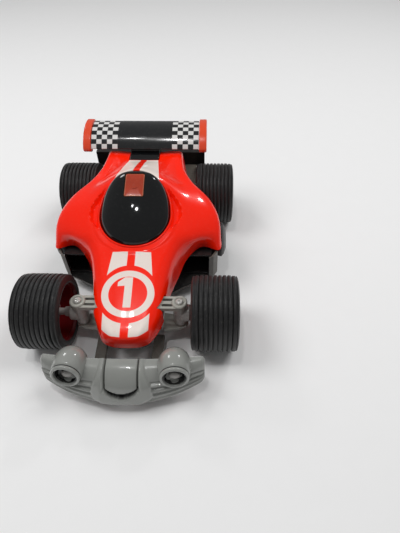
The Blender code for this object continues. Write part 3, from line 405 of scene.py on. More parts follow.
PLAIN_FINISHES = {
    "gloss_black": ((0.004, 0.0045, 0.005), 0.08, 0.05,
                    dict(variation=0.02, dust=0.015, Coat_Weight=0.35, Coat_Roughness=0.03,
                         Specular_IOR_Level=0.35)),
    "pod_black": ((0.016, 0.015, 0.015), 0.30, 0.3, dict(dust=0.06)),
    "arm_grey": ((0.33, 0.325, 0.29), 0.32, 0.3, dict(dust=0.05, Coat_Weight=0.3)),
    "deck": ((0.13, 0.12, 0.10), 0.38, 0.3, dict(dust=0.06)),
    "rim_red": ((0.16, 0.004, 0.006), 0.30, 0.15, dict(Coat_Weight=0.3)),
    "endplate_red": ((0.72, 0.060, 0.016), 0.24, 0.15, dict(Coat_Weight=0.5, Coat_Roughness=0.08)),
    "lamp_grey": ((0.40, 0.385, 0.365), 0.28, 0.3, dict(dust=0.05, Coat_Weight=0.3)),
    "steel": ((0.62, 0.61, 0.58), 0.38, 0.3, dict(Metallic=0.55, variation=0.1)),
    "gear_white": ((0.72, 0.70, 0.62), 0.4, 0.3, {}),
    "board_green": ((0.02, 0.12, 0.045), 0.35, 0.3, {}),
    "cell_jacket": ((0.06, 0.08, 0.22), 0.28, 0.3, dict(Coat_Weight=0.4)),
}
FINISHES = {
    "shell_red": shell_finish(),
    "wing": wing_finish(),
    "signal_red": window_finish(),
    "bumper_grey": bumper_finish(),
    "tyre_black": tyre_finish(),
    "chassis_grey": chassis_finish(),
}
for material_name, (tint, polish, rub, extras) in PLAIN_FINISHES.items():
    FINISHES[material_name] = plain(material_name, tint, polish, rub, **extras)


# --- Shapes: each returns a bmesh in drawing millimetres ---

def curve_through(points, steps):
    """Points on a smooth curve through the given points, with steps points to each span."""
    ends = [points[0] * 2 - points[1]] + points + [points[-1] * 2 - points[-2]]
    result = []
    for a, b, c, d in zip(ends, ends[1:], ends[2:], ends[3:]):
        for k in range(steps):
            t = k / steps
            result.append(0.5 * (2 * b + (c - a) * t + (2 * a - 5 * b + 4 * c - d) * t * t
                                 + (3 * b - a - 3 * c + d) * t * t * t))
    return result + [points[-1]]


def smooth(low, high, value):
    """0 below low, 1 above high, and an even passage between."""
    t = min(1.0, max(0.0, (value - low) / (high - low)))
    return t * t * (3 - 2 * t)


def hill(centre, half_width, value):
    """1 at centre, falling smoothly to 0 at half_width from it."""
    return 1 - smooth(0, half_width, abs(value - centre))


def loft(rings, looped=False):
    """A closed surface through rings of equally many points, capped or with its last ring on its first."""
    shape = bmesh.new()
    rows = [[shape.verts.new(point) for point in ring] for ring in rings]
    following = rows[1:] + rows[:1] if looped else rows[1:]
    for near, far in zip(rows, following):
        for i in range(len(near)):
            j = (i + 1) % len(near)
            shape.faces.new((near[i], near[j], far[j], far[i]))
    if not looped:
        shape.faces.new(reversed(rows[0]))
        shape.faces.new(rows[-1])
    bmesh.ops.recalc_face_normals(shape, faces=shape.faces)
    return shape


def arc(centre, radius, first, last, steps):
    """Points of an arc in a plane, as pairs, from one angle to another in degrees."""
    angles = [math.radians(first + (last - first) * k / steps) for k in range(steps + 1)]
    return [(centre[0] + radius * math.cos(a), centre[1] + radius * math.sin(a)) for a in angles]


def circle(centre, radius, segments):
    """Points of a circle in a plane, as pairs."""
    return arc(centre, radius, 0, 360, segments)[:-1]


def round_ring(point, ahead, across_radius, up_radius, segments):
    """A ring about a point of a path, square to the way ahead."""
    across = ahead.cross(UPWARD).normalized()
    up = across.cross(ahead).normalized()
    return [point + across * x + up * y
            for x, y in ((across_radius * a, up_radius * b) for a, b in circle((0, 0), 1, segments))]


def prism(outline, axis, low, high):
    """An outline in the two axes other than axis, stretched from low to high."""
    index = "xyz".index(axis)

    def lift(point, height):
        coords = list(point)
        coords.insert(index, height)
        return coords

    return loft([[lift(p, low) for p in outline], [lift(p, high) for p in outline]])


def block(low, high):
    """A box between two corners."""
    return prism([(low[0], low[1]), (high[0], low[1]), (high[0], high[1]), (low[0], high[1])],
                 "z", low[2], high[2])


def disc(axis, centre, radius, low, high, segments=48):
    """A cylinder along an axis; centre is in the two other axes."""
    return prism(circle(centre, radius, segments), axis, low, high)


def turned(profile, centre, segments, axis=SIDEWAYS):
    """A closed profile of (reach, radius) points turned about an axis through centre."""
    first = axis.orthogonal().normalized()
    second = axis.cross(first)
    rings = []
    for across, along in circle((0, 0), 1, segments):
        out = first * across + second * along
        rings.append([Vector(centre) + axis * reach + out * radius for reach, radius in profile])
    shape = loft(rings, looped=True)
    bmesh.ops.remove_doubles(shape, verts=shape.verts, dist=0.0005)
    return shape


def mesh_of(shape, name="shape"):
    """A mesh made of a shape, which is used up."""
    mesh = bpy.data.meshes.new(name)
    shape.to_mesh(mesh)
    shape.free()
    return mesh


def add_object(name, data):
    """An object in the scene's collection."""
    item = bpy.data.objects.new(name, data)
    bpy.context.scene.collection.objects.link(item)
    return item


def combine(base, tool, operation):
    """The boolean of two shapes. Both are used up."""
    pieces = [add_object("shape", mesh_of(shape)) for shape in (base, tool)]
    modifier = pieces[0].modifiers.new("combine", "BOOLEAN")
    modifier.operation = operation
    modifier.object = pieces[1]
    modifier.solver = "MANIFOLD"
    depsgraph = bpy.context.evaluated_depsgraph_get()
    result = bmesh.new()
    result.from_mesh(pieces[0].evaluated_get(depsgraph).to_mesh())
    for item in pieces:
        mesh = item.data
        bpy.data.objects.remove(item)
        bpy.data.meshes.remove(mesh)
    return result


def join(base, *tools):
    """The base with the tools added."""
    for tool in tools:
        base = combine(base, tool, "UNION")
    return base


def carve(base, *tools):
    """The base with the tools cut away."""
    for tool in tools:
        base = combine(base, tool, "DIFFERENCE")
    return base


def flip(shape, side):
    """Move a shape drawn for the +X side to the wanted side."""
    if side < 0:
        bmesh.ops.scale(shape, vec=(-1, 1, 1), verts=shape.verts)
        bmesh.ops.reverse_faces(shape, faces=shape.faces)
    return shape


def merged(*shapes):
    """Several closed shapes in one mesh, without a boolean."""
    result = bmesh.new()
    for shape in shapes:
        mesh = mesh_of(shape)
        result.from_mesh(mesh)
        bpy.data.meshes.remove(mesh)
    return result


def piece(name, shape, node, finish=None, bevel=0.0, segments=2, angle=35, hides=True):
    """Make an object of a shape. It stands for a CAD node, on that node's body."""
    bmesh.ops.translate(shape, vec=(0, FRONT_Y, 0), verts=shape.verts)
    bmesh.ops.scale(shape, vec=(MM, MM, MM), verts=shape.verts)
    return dress(name, mesh_of(shape, name), node, finish, bevel, segments, angle, hides)


def dress(name, mesh, node, finish, bevel, segments=2, angle=30, hides=True):
    """Object, finish, rounded edges, body and slot."""
    mesh.materials.clear()
    mesh.materials.append(FINISHES[finish or SLOT_OF[node]])
    mesh.shade_smooth()
    item = add_object(name, mesh)
    if bevel:
        round_off = item.modifiers.new("round", "BEVEL")
        round_off.width = bevel * MM
        round_off.segments = segments
        round_off.limit_method = "ANGLE"
        round_off.angle_limit = math.radians(angle)
        round_off.harden_normals = False
        weighted = item.modifiers.new("normals", "WEIGHTED_NORMAL")
        weighted.keep_sharp = True
    else:
        mesh.set_sharp_from_angle(angle=math.radians(angle))
    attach(item, BODY_OF[node])
    if hides:
        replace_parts(item, node)
    return item


def refined(node, bevel, finish=None):
    """A copy of a CAD node with its facets merged and its edges rounded."""
    shape = bmesh.new()
    shape.from_mesh(frame["nodes"][node].data)
    bmesh.ops.remove_doubles(shape, verts=shape.verts, dist=0.00001)
    bmesh.ops.dissolve_limit(shape, angle_limit=math.radians(1), verts=shape.verts, edges=shape.edges)
    return dress(node + "_fine", mesh_of(shape, node + "_fine"), node, finish, bevel)


# --- Wheels ---

TYRE_RADIUS = 32
WHEEL_INNER_X = 52
WHEEL_OUTER_X = 90
RIM_WEB_X = 78
HUB_RADIUS = 6.5
RIBS = 9
GROOVE_WIDTH = 1.05
GROOVE_DEPTH = 1.25
EDGE_DROP = 0.35                 # the outermost ribs are this much lower
FLANGE_RADIUS = 24.5             # where the tyre's side wall ends, over the rim's edge
# (x from the tyre's side, radius over the flange's), from the rim outwards
SIDE_WALL = [(0.9, 2.9), (0.42, 2.8), (0.42, 0.4), (0.2, 0), (-0.1, 0.2), (-0.3, 1.2), (-0.35, 3.4),
             (-0.1, 3.7), (-0.05, 4.2), (-0.1, 4.6), (0.2, 5.8), (1.0, 6.8)]
RIB_CROWN = [(0.0, 0.32), (0.14, 0.08), (0.32, 0.0), (0.68, 0.0), (0.86, 0.08), (1.0, 0.32)]
# (x, radius): barrel with a step, web, hub and outer lip
RIM_SECTION = [(52.9, 27), (52.5, 26.6), (52.5, 25.3), (52.9, 24.9), (56, 24.6), (56.4, 23.8),
               (73, 22.8), (76.5, 21), (78, 18.5), (78, 7.7), (76.8, 6.5), (61.6, 6.5), (61, 5.9),
               (61, 3.4), (84, 3.4), (84, 8.7), (83.4, 9.5), (81.4, 10.5), (81, 19), (82, 21.5),
               (85.5, 23.6), (88.4, 24.2), (89.1, 24.8), (89.1, 26.4), (88.6, 27)]


def tyre_profile():
    """(x, radius) points round the tyre's section, with ribs and a stepped side wall."""
    low, high = WHEEL_INNER_X, WHEEL_OUTER_X
    inner = [(low + x, FLANGE_RADIUS + rise) for x, rise in SIDE_WALL]
    outer = [(low + high - x, radius) for x, radius in reversed(inner)]
    first, last = low + 2.2, high - 1.4
    pitch = (last - first) / RIBS
    half = GROOVE_WIDTH / 2
    tread = []
    for rib in range(RIBS):
        start, end = first + rib * pitch, first + (rib + 1) * pitch
        is_first, is_last = rib == 0, rib == RIBS - 1
        crown = TYRE_RADIUS - (EDGE_DROP if is_first or is_last else 0.0)
        bottom = crown - GROOVE_DEPTH
        if not is_first:
            tread += [(start + 0.12, bottom), (start + half - 0.05, bottom + 0.25),
                      (start + half, crown - 0.5)]
        a, b = start + (0 if is_first else half), end - (0 if is_last else half)
        for share, drop in RIB_CROWN:
            fall = 0.5 if (is_first and share < 0.2) or (is_last and share > 0.8) else 0
            tread.append((a + (b - a) * share, crown - drop - fall))
        if not is_last:
            tread += [(end - half, crown - 0.5), (end - half + 0.05, bottom + 0.25), (end - 0.12, bottom)]
    return inner + tread + outer


def spoke(angle, side):
    """A rounded rib of the rim's outer face."""
    section = [(-1.9, 0), (-1.5, 1.5), (0, 2.1), (1.5, 1.5), (1.9, 0)]
    rings = []
    for radius, grow in ((HUB_RADIUS + 1.5, 1.25), (11, 1.0), (15, 0.9), (19.3, 1.15)):
        rings.append([Vector((RIM_WEB_X + 2.4 + high * grow, across * grow, radius))
                      for across, high in section])
    shape = loft(rings)
    bmesh.ops.rotate(shape, cent=(0, 0, 0), matrix=Matrix.Rotation(angle, 3, "X"), verts=shape.verts)
    return flip(shape, side)


def hub_cap():
    """A domed cap with a six-sided recess."""
    x = RIM_WEB_X + 6.4
    profile = [(x, 0), (x, HUB_RADIUS - 0.3), (x + 0.4, HUB_RADIUS), (x + 2.2, HUB_RADIUS),
               (x + 3.0, HUB_RADIUS - 0.7), (x + 3.4, HUB_RADIUS - 2), (x + 3.55, 0)]
    cap = turned(profile, (0, 0, 0), 64)
    return carve(cap, prism(circle((0, 0), 2.9, 6), "x", x + 2.4, x + 6))


def make_wheel(corner, side, axle_y):
    """Tyre, spoked rim and hub cap of one wheel."""
    centre = Vector((0, axle_y, AXLE_Z))
    tyre = flip(turned(tyre_profile(), (0, 0, 0), 112), side)
    rim = merged(flip(turned(RIM_SECTION, (0, 0, 0), 80), side),
                 *[spoke(math.radians(60 * k), side) for k in range(6)])
    cap = flip(hub_cap(), side)
    for shape in (tyre, rim, cap):
        bmesh.ops.translate(shape, vec=centre, verts=shape.verts)
    piece(corner + "_tyre_fine", tyre, corner + "_tyre", angle=50)
    piece(corner + "_rim_fine", rim, corner + "_rim", angle=40)
    piece(corner + "_hub_cap_fine", cap, corner + "_hub_cap", bevel=0.2, angle=40)


# --- Front suspension ---

ARM_HALF_WIDTH = 6.2
KINGPIN_BORE = 1.9
STEER_PIN_Y, STEER_PIN_RADIUS = 14, 1.6
# (x from the kingpin, radius) of the knuckle's axle housing, and (x from the rim's web, radius)
HOUSING_SECTION = [(1, 0), (1, 6.2), (2.2, 7.2), (7.6, 7.2), (8.4, 6.6), (9, 5.0), (9.6, 4.4),
                   (13, 4.0), (13.4, 3.0)]
STUB_AXLE_END = [(5.6, 3.0), (6, 2.5), (6, 0)]


def capsule(x_start, x_end, half_width):
    """Outline of a plate from x_start to a round end about x_end."""
    return [(x_start, -half_width)] + arc((x_end, 0), half_width, -90, 90, 24) + [(x_start, half_width)]


def slot_outline(x_start, x_end, y, half):
    """A narrow slot with round ends."""
    return arc((x_end, y), half, -90, 90, 10) + arc((x_start, y), half, 90, 270, 10)


def upper_arm():
    """Plate with a round end, two slots, and a raised boss with a sunk middle for the screw."""
    low, high = bottom_of("upper_arm_left"), top_of("upper_arm_left") - 1
    plate = prism(capsule(24, KINGPIN_X, ARM_HALF_WIDTH), "z", low, high - 0.3)
    for y in (-2.75, 2.75):
        plate = carve(plate, prism(slot_outline(28.5, 35.6, y, 1.25), "z", low - 1, high + 1))
    boss_profile = [(low, ARM_HALF_WIDTH + 0.3), (high + 0.2, ARM_HALF_WIDTH + 0.3),
                    (high + 0.9, ARM_HALF_WIDTH - 0.3), (high + 1, ARM_HALF_WIDTH - 1.2),
                    (high + 0.7, ARM_HALF_WIDTH - 1.9), (high + 0.15, 4.1), (high + 0.1, 1.95), (low, 1.95)]
    boss = turned(boss_profile, (KINGPIN_X, 0, 0), 64, UPWARD)
    bore = disc("z", (KINGPIN_X, 0), 5.6, low - 1, high + 2)
    return join(carve(plate, bore), boss)


def screw_head(centre, top, radius):
    """A pan head with a cross recess, facing up."""
    profile = [(top, 0), (top, radius), (top + 0.7, radius), (top + 1.35, radius - 0.5),
               (top + 1.65, radius - 1.3), (top + 1.7, 0)]
    head = turned(profile, (*centre, 0), 48, UPWARD)
    x, y = centre
    cross = join(block((x - 1.7, y - 0.38, top + 0.9), (x + 1.7, y + 0.38, top + 3)),
                 block((x - 0.38, y - 1.7, top + 0.8), (x + 0.38, y + 1.7, top + 3.2)))
    return carve(head, cross)


def knuckle():
    """Barrel on the kingpin, round axle housing, stub axle, steering arm and its pin."""
    low, high = top_of("lower_arm_left") + GAP, bottom_of("upper_arm_left") - GAP
    barrel = turned([(low, 2.1), (low, 4.6), (low + 0.5, 5.1), (low + 3, 5.1), (low + 3.8, 5.9),
                     (high - 4, 5.9), (high - 3, 5.4), (high - 0.6, 5.4), (high, 4.8), (high, 2.1)],
                    (KINGPIN_X, 0, 0), 56, UPWARD)
    x = KINGPIN_X
    housing = turned([(x + reach, radius) for reach, radius in HOUSING_SECTION]
                     + [(RIM_WEB_X + reach, radius) for reach, radius in STUB_AXLE_END], (0, 0, AXLE_Z), 56)
    rib = block((x - 3, -1.2, low + 1), (x + 5.5, 1.2, high - 1))
    arm_outline = [(x - 3.9, 1), (x + 3.9, 1), (x + 3, 16), (x + 1.5, 17.2), (x - 1.5, 17.2), (x - 3, 16)]
    tie_low = bottom_of("tie_rod")
    arm = prism(arm_outline, "z", tie_low - 3.4, tie_low - GAP)
    pin = disc("z", (x, STEER_PIN_Y), STEER_PIN_RADIUS, tie_low - 1, tie_low + 4, 32)
    solid = join(barrel, housing, rib, arm, pin)
    return carve(solid, disc("z", (x, 0), KINGPIN_BORE, low - 1, high + 1))


def make_steering():
    """Arms, kingpin screws and knuckles of both sides."""
    for name, side in SIDES.items():
        piece("upper_arm_" + name + "_fine", flip(upper_arm(), side), "upper_arm_" + name, bevel=0.35)
        refined("lower_arm_" + name, 0.5)
        top = top_of("upper_arm_left") + GAP - 0.9
        piece("kingpin_head_" + name, flip(screw_head((KINGPIN_X, 0), top, 3), side),
              "kingpin_screw_" + name, bevel=0.12)
        piece("kingpin_shaft_" + name, flip(disc("z", (KINGPIN_X, 0), 1.5, 16, top + 0.5, 24), side),
              "kingpin_screw_" + name)
        piece("knuckle_" + name + "_fine", flip(knuckle(), side), "knuckle_" + name, bevel=0.3)


# --- Canopy ---

def egg_half_width(y, grow=0.0):
    """Half the canopy's width at y."""
    if y < CANOPY_WIDEST:
        share = (CANOPY_WIDEST - y) / (CANOPY_WIDEST - CANOPY_FRONT + grow)
        power = 1.0
    else:
        share = (y - CANOPY_WIDEST) / (CANOPY_REAR - CANOPY_WIDEST + grow)
        power = CANOPY_REAR_POWER
    return (CANOPY_HALF_WIDTH + grow) * max(0.0, 1 - share * share) ** (power / 2)


def egg_outline(segments, grow=0.0):
    """The canopy's outline from above."""
    points = []
    for i in range(segments):
        angle = 2 * math.pi * i / segments
        reach = CANOPY_WIDEST - CANOPY_FRONT if math.cos(angle) > 0 else CANOPY_REAR - CANOPY_WIDEST
        y = CANOPY_WIDEST - (reach + grow) * math.cos(angle)
        points.append((math.copysign(egg_half_width(y, grow), math.sin(angle)), y))
    return points


def egg_distance(x, y, outline):
    """How far a point is outside the canopy's outline, measured away from the canopy's middle."""
    angle = math.atan2(x, CANOPY_WIDEST - y) % (2 * math.pi)
    best = min(outline, key=lambda row: abs((row[0] - angle + math.pi) % (2 * math.pi) - math.pi))
    return math.hypot(x, y - CANOPY_WIDEST) - best[1]


def canopy_edge_z(y):
    """Height of the canopy's edge at y."""
    share = (y - CANOPY_FRONT) / (CANOPY_REAR - CANOPY_FRONT)
    return CANOPY_EDGE_Z + CANOPY_EDGE_SLOPE * (y - CANOPY_FRONT) + CANOPY_EDGE_KICK * share ** 3


def canopy_share(x, y):
    """How far out a point lies, from 0 at the canopy's middle to 1 on its outline."""
    low, high = 0.01, 1.0
    for _ in range(24):
        share = (low + high) / 2
        if abs(x) >= share * egg_half_width(CANOPY_WIDEST + (y - CANOPY_WIDEST) / share):
            low = share
        else:
            high = share
    return high


def dome_height(x, y):
    """Height of the canopy's outer face above a point inside its outline."""
    return canopy_edge_z(y) + CANOPY_DOME * math.sqrt(1 - canopy_share(x, y) ** 2)


def canopy_rings(shares, inwards):
    """Rings of the dome, each a share of the way out, moved inwards by a wall."""
    rings = []
    for share in shares:
        ring = []
        for x, y in egg_outline(120, CANOPY_FIT):
            x, y = x * share, CANOPY_WIDEST + (y - CANOPY_WIDEST) * share
            rise = CANOPY_DOME * math.sqrt(max(0.0, 1 - share * share))
            z = canopy_edge_z(y) + rise
            out = Vector((x / CANOPY_HALF_WIDTH ** 2, (y - CANOPY_WIDEST) / CANOPY_HALF_LENGTH ** 2,
                          rise / CANOPY_DOME ** 2 + 1e-6)).normalized()
            ring.append(Vector((x, y, z)) - out * inwards)
        rings.append(ring)
    return rings


def canopy_shape():
    """The dome with its skirt, as a closed sheet with the window's recess cut in it."""
    shares = [math.sin(math.radians(a)) for a in
              (2, 8, 15, 22, 29, 36, 43, 50, 57, 64, 70, 75, 80, 84, 87, 90)]
    outer = canopy_rings(shares, 0)
    inner = canopy_rings(shares, CANOPY_WALL)
    skirt = [p - Vector((0, 0, 4)) for p in outer[-1]]
    skirt_inner = [p - Vector((0, 0, 3.6)) for p in inner[-1]]
    shell = loft(outer + [skirt, skirt_inner] + inner[::-1])
    return carve(shell, patch(WINDOW[0] + 0.35, WINDOW[1] - 0.35, WINDOW[2] + 0.35, 4, -1.7, 1.8))


def patch(half_width, front, rear, top, bottom, corner):
    """A body over the dome within a rounded rectangle, between two offsets from the dome's face."""
    def outline(inset):
        points = []
        middles = ((half_width - corner, rear - corner, 0), (-half_width + corner, rear - corner, 90),
                   (-half_width + corner, front + corner, 180), (half_width - corner, front + corner, 270))
        for x, y, start in middles:
            points += arc((x, y), corner, start, start + 90, 8)
        centre = (front + rear) / 2
        return [(x * inset, centre + (y - centre) * inset) for x, y in points]

    shares = (0.02, 0.2, 0.4, 0.6, 0.8, 0.93, 1.0)
    upper = [[(x, y, dome_height(x, y) + top) for x, y in outline(share)] for share in shares]
    lower = [[(x, y, dome_height(x, y) + bottom) for x, y in outline(share)] for share in reversed(shares)]
    return loft(upper + lower)


def tube(path, radius):
    """A closed ring of round section along a closed path."""
    return loft([round_ring(point, path[(index + 1) % len(path)] - path[index - 1], radius, radius, 12)
                 for index, point in enumerate(path)], looped=True)


def make_canopy():
    """The dome, its window, and the small curved rib on the window."""
    piece("canopy_fine", canopy_shape(), "canopy", angle=50)
    window = patch(*WINDOW, 0.05, -1.3, 1.6)
    piece("signal_window_fine", window, "signal_window", bevel=0.35, angle=50)
    path = [Vector((x, y, dome_height(x, y) + 0.05)) for x, y in arc((0, 88.5), 3.0, 200, 340, 16)]
    last = len(path) - 1
    rings = []
    for index, point in enumerate(path):
        radius = 0.15 + 0.3 * min(1.0, min(index, last - index) / 4)
        ahead = path[min(index + 1, last)] - path[max(index - 1, 0)]
        rings.append(round_ring(point, ahead, radius, radius, 8))
    piece("signal_window_rib", loft(rings), "signal_window")


# --- Body shell ---

def shell_rows(steps_along, steps_across):
    """Rows of points over the shell's outer surface, front to rear, each from one edge to the other."""
    rails = []
    for points in (RAIL_CENTRE, RAIL_HUMP, RAIL_TOP, RAIL_SHOULDER, RAIL_EDGE):
        rails.append(curve_through([Vector(p) for p in points], steps_along))
    rows = []
    for station in zip(*rails):
        right = [Vector((-p.x, p.y, p.z)) for p in reversed(station[1:])]
        rows.append(curve_through(right + list(station), steps_across))
    return rows


def shell_detail(x, y, outline):
    """How far the moulded detail round the canopy stands out from the plain surface."""
    out = egg_distance(x, y, outline)
    if out > 16:
        return 0.0
    apron = 0.5 * (1 - smooth(6.6, 7.8, out)) * (1 - smooth(60, 72, y))
    span = min(1.0, max(0.0, (y - 58) / 46))
    width = 10.5 * math.sin(math.pi * span ** 0.85) ** 0.9
    trough = 0.0
    if width > 0.5:
        trough = 3.6 * smooth(1.6, 4.5, out) * (1 - smooth(width - 1.2, width, out)) * smooth(2, 6, width)
    return apron - trough


def make_shell():
    """The red shell with the moulded detail round the canopy, and the lip round its opening."""
    rows = shell_rows(12, 16)
    outline = []
    for x, y in egg_outline(720):
        outline.append((math.atan2(x, CANOPY_WIDEST - y) % (2 * math.pi), math.hypot(x, y - CANOPY_WIDEST)))
    sheet = bmesh.new()
    grid = [[sheet.verts.new(p) for p in row] for row in rows]
    for near, far in zip(grid, grid[1:]):
        for k in range(len(near) - 1):
            sheet.faces.new((near[k], near[k + 1], far[k + 1], far[k]))
    bmesh.ops.recalc_face_normals(sheet, faces=sheet.faces)
    sheet.normal_update()
    if sum(face.normal.z * face.calc_area() for face in sheet.faces) < 0:
        bmesh.ops.reverse_faces(sheet, faces=sheet.faces)
        sheet.normal_update()
    for v in sheet.verts:
        if 36 < v.co.y < 122:
            v.co += v.normal * shell_detail(v.co.x, v.co.y, outline)
    sheet.normal_update()
    surface = BVHTree.FromBMesh(sheet)
    outer = list(sheet.faces)
    border = [edge for edge in sheet.edges if len(edge.link_faces) == 1]
    below = {v: sheet.verts.new(v.co - v.normal * SHELL_WALL) for v in list(sheet.verts)}
    for edge in border:
        loop = next(l for l in edge.link_faces[0].loops if l.edge == edge)
        a, b = loop.vert, loop.link_loop_next.vert
        sheet.faces.new((b, a, below[a], below[b]))
    for face in outer:
        sheet.faces.new([below[v] for v in reversed(face.verts)])
    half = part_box("wing_pylon")[1].x / MM + GAP
    canopy_hole = prism(egg_outline(180, 0.8), "z", 30, 120)
    pylon_notch = block((-half, 150, 60), (half, 180, 100))
    arm_slot = block((-60, -7, 20), (60, 7, top_of("upper_arm_left") + 0.3))
    shell = carve(sheet, canopy_hole, pylon_notch, arm_slot)
    piece("body_shell_fine", shell, "body_shell", angle=40)
    path = []
    for x, y in egg_outline(180, 1.5):
        hit = surface.ray_cast(Vector((x, y, 150)), Vector((0, 0, -1)))[0]
        path.append(Vector((x, y, hit.z + 0.1 if hit else canopy_edge_z(y))))
    piece("canopy_lip", tube(path, 0.95), "body_shell", finish="shell_red", hides=False)


# --- Wing ---

def wing_point(radius, degrees):
    """(y, z) of a point at an angle on a circle about the wing's centre."""
    angle = math.radians(degrees)
    return (WING_CENTRE[0] - radius * math.cos(angle), WING_CENTRE[1] + radius * math.sin(angle))


def arc_band(outer, inner, start, end, steps):
    """Outline of a curved band with square ends."""
    angles = [start + (end - start) * i / steps for i in range(steps + 1)]
    return [wing_point(outer, a) for a in angles] + [wing_point(inner, a) for a in reversed(angles)]


def rounded_band(outer, inner, start, end, corner):
    """Outline of a curved band with round corners."""
    turn = math.degrees(corner / outer)
    points = []
    corners = ((outer - corner, start + turn, 180, 90), (outer - corner, end - turn, 90, 0),
               (inner + corner, end - turn, 0, -90), (inner + corner, start + turn, -90, -180))
    for index, (radius, angle, first, last) in enumerate(corners):
        for across, up in arc((0, 0), corner, first, last, 6):
            points.append(wing_point(radius + up, angle + math.degrees(across / radius)))
        if index in (0, 2):
            edge, following = (outer, inner)[index // 2], corners[index + 1][1]
            points += [wing_point(edge, angle + (following - angle) * k / 24) for k in range(1, 24)]
    return points


def make_wing():
    """Blade, endplates and pylon."""
    start, end = WING_ARC
    band = arc_band(WING_RADIUS, WING_RADIUS - 3, start, end, 40)
    blade = prism(band, "x", -WING_HALF_SPAN, WING_HALF_SPAN)
    piece("wing_blade_fine", blade, "wing_blade", finish="wing", bevel=0.5, segments=3, angle=40)
    for name, side in SIDES.items():
        near, far = side * (WING_HALF_SPAN + 0.3), side * (WING_HALF_SPAN + ENDPLATE_THICKNESS)
        outline = rounded_band(WING_RADIUS + 1.5, WING_RADIUS - 9, start - 4, end + 6, 3.2)
        plate = prism(outline, "x", min(near, far), max(near, far))
        piece("endplate_" + name + "_fine", plate, "endplate_" + name, bevel=1.1, segments=4, angle=50)
    refined("wing_pylon", 0.8)


# --- Bumper ---

def bumper_section(x):
    """The bumper's section at x: towards the ends it gets shallower and lower, and its ends are round."""
    share = abs(x) / BUMPER_HALF_WIDTH
    top_y, top_z = BUMPER_SECTION[0]
    bottom_z = BUMPER_SECTION[4][1]
    depth = 1 - BUMPER_END_SWEEP * share ** BUMPER_END_POWER
    low = bottom_z + BUMPER_END_RISE * share ** 2
    high = top_z + BUMPER_END_LIFT * share ** 2
    back = top_y + BUMPER_END_BACK * share ** 2
    return [Vector((x, back + (y - top_y) * depth, low + (high - low) * (z - bottom_z) / (top_z - bottom_z)))
            for y, z in BUMPER_SECTION]


FRONT_STEPS = 16
BACK_STEPS = 4
PANEL_X = 12.6
PANEL_GROOVE = 0.55            # half width of the grooves beside the panel
SMILE_DEPTH = 0.115            # how much lower the slot is at its middle, as a share of the face
SMILE_END = 0.58               # the slot's upper edge at the panel's corners
RIDGES = (0.575, 0.715)


def bumper_relief(x, t):
    """Height of the moulded detail at x and a share t of the way down the front face, and how much painted
    shade it gets in the slot and the grooves beside the panel.
    """
    across = abs(x)
    share = min(1.0, across / PANEL_X)
    smile = SMILE_END + SMILE_DEPTH * math.sqrt(1 - share ** 2) ** 1.4
    slot_end = smile + 0.02 + 0.085 * (1 - share ** 2)
    frame_outer = 17.2 + 6.4 * smooth(0.1, 0.75, t) - 6.0 * smooth(0.84, 1.0, t)
    crest = PANEL_X + 0.3 * (frame_outer - PANEL_X) + 0.6
    rise = 3.0 * (0.4 + 0.6 * smooth(0.0, 0.4, t)) * (1 - smooth(0.93, 1.0, t))
    if across < PANEL_X:
        below = smooth(slot_end, slot_end + 0.03, t)
        height = (0.5 + 1.0 * (1 - share ** 2) * smooth(0, 0.1, t)) * (1 - below) + rise * below
    elif across < crest:
        chin = smooth(SMILE_END + 0.04, SMILE_END + 0.1, t)
        height = rise * (chin + (1 - chin) * math.sin(math.pi / 2 * smooth(PANEL_X, crest, across)))
    else:
        slope = min(1.0, (across - crest) / (frame_outer - crest))
        height = rise * (1 - 0.55 * slope) * (1 - smooth(frame_outer - 0.7, frame_outer + 0.4, across))
    upright = 1 - smooth(SMILE_END, SMILE_END + 0.05, t)
    groove = hill(PANEL_X, PANEL_GROOVE + 0.3, across) * upright
    height -= 1.7 * groove
    # painted shade in the grooves beside the panel
    black = 0.3 * hill(PANEL_X, PANEL_GROOVE, across) * upright
    if across < PANEL_X + 0.5:
        slot = smooth(smile - 0.008, smile + 0.008, t) * (1 - smooth(slot_end, slot_end + 0.02, t))
        slot *= 1 - smooth(PANEL_X - 0.2, PANEL_X + 0.5, across)
        height -= 3.6 * slot
        # painted shade in the slot under the panel's overhang
        black = max(black, min(1.0, slot * 1.7))
    fade = smooth(frame_outer - 0.6, frame_outer + 0.8, across)
    for centre in RIDGES:
        height += 2.3 * fade * hill(centre, 0.062, t) ** 0.7
    height -= 1.3 * fade * smooth(0.45, 0.53, t) * (1 - smooth(0.79, 0.86, t))
    height += 0.9 * fade * hill(0.95, 0.05, t)
    return height, black


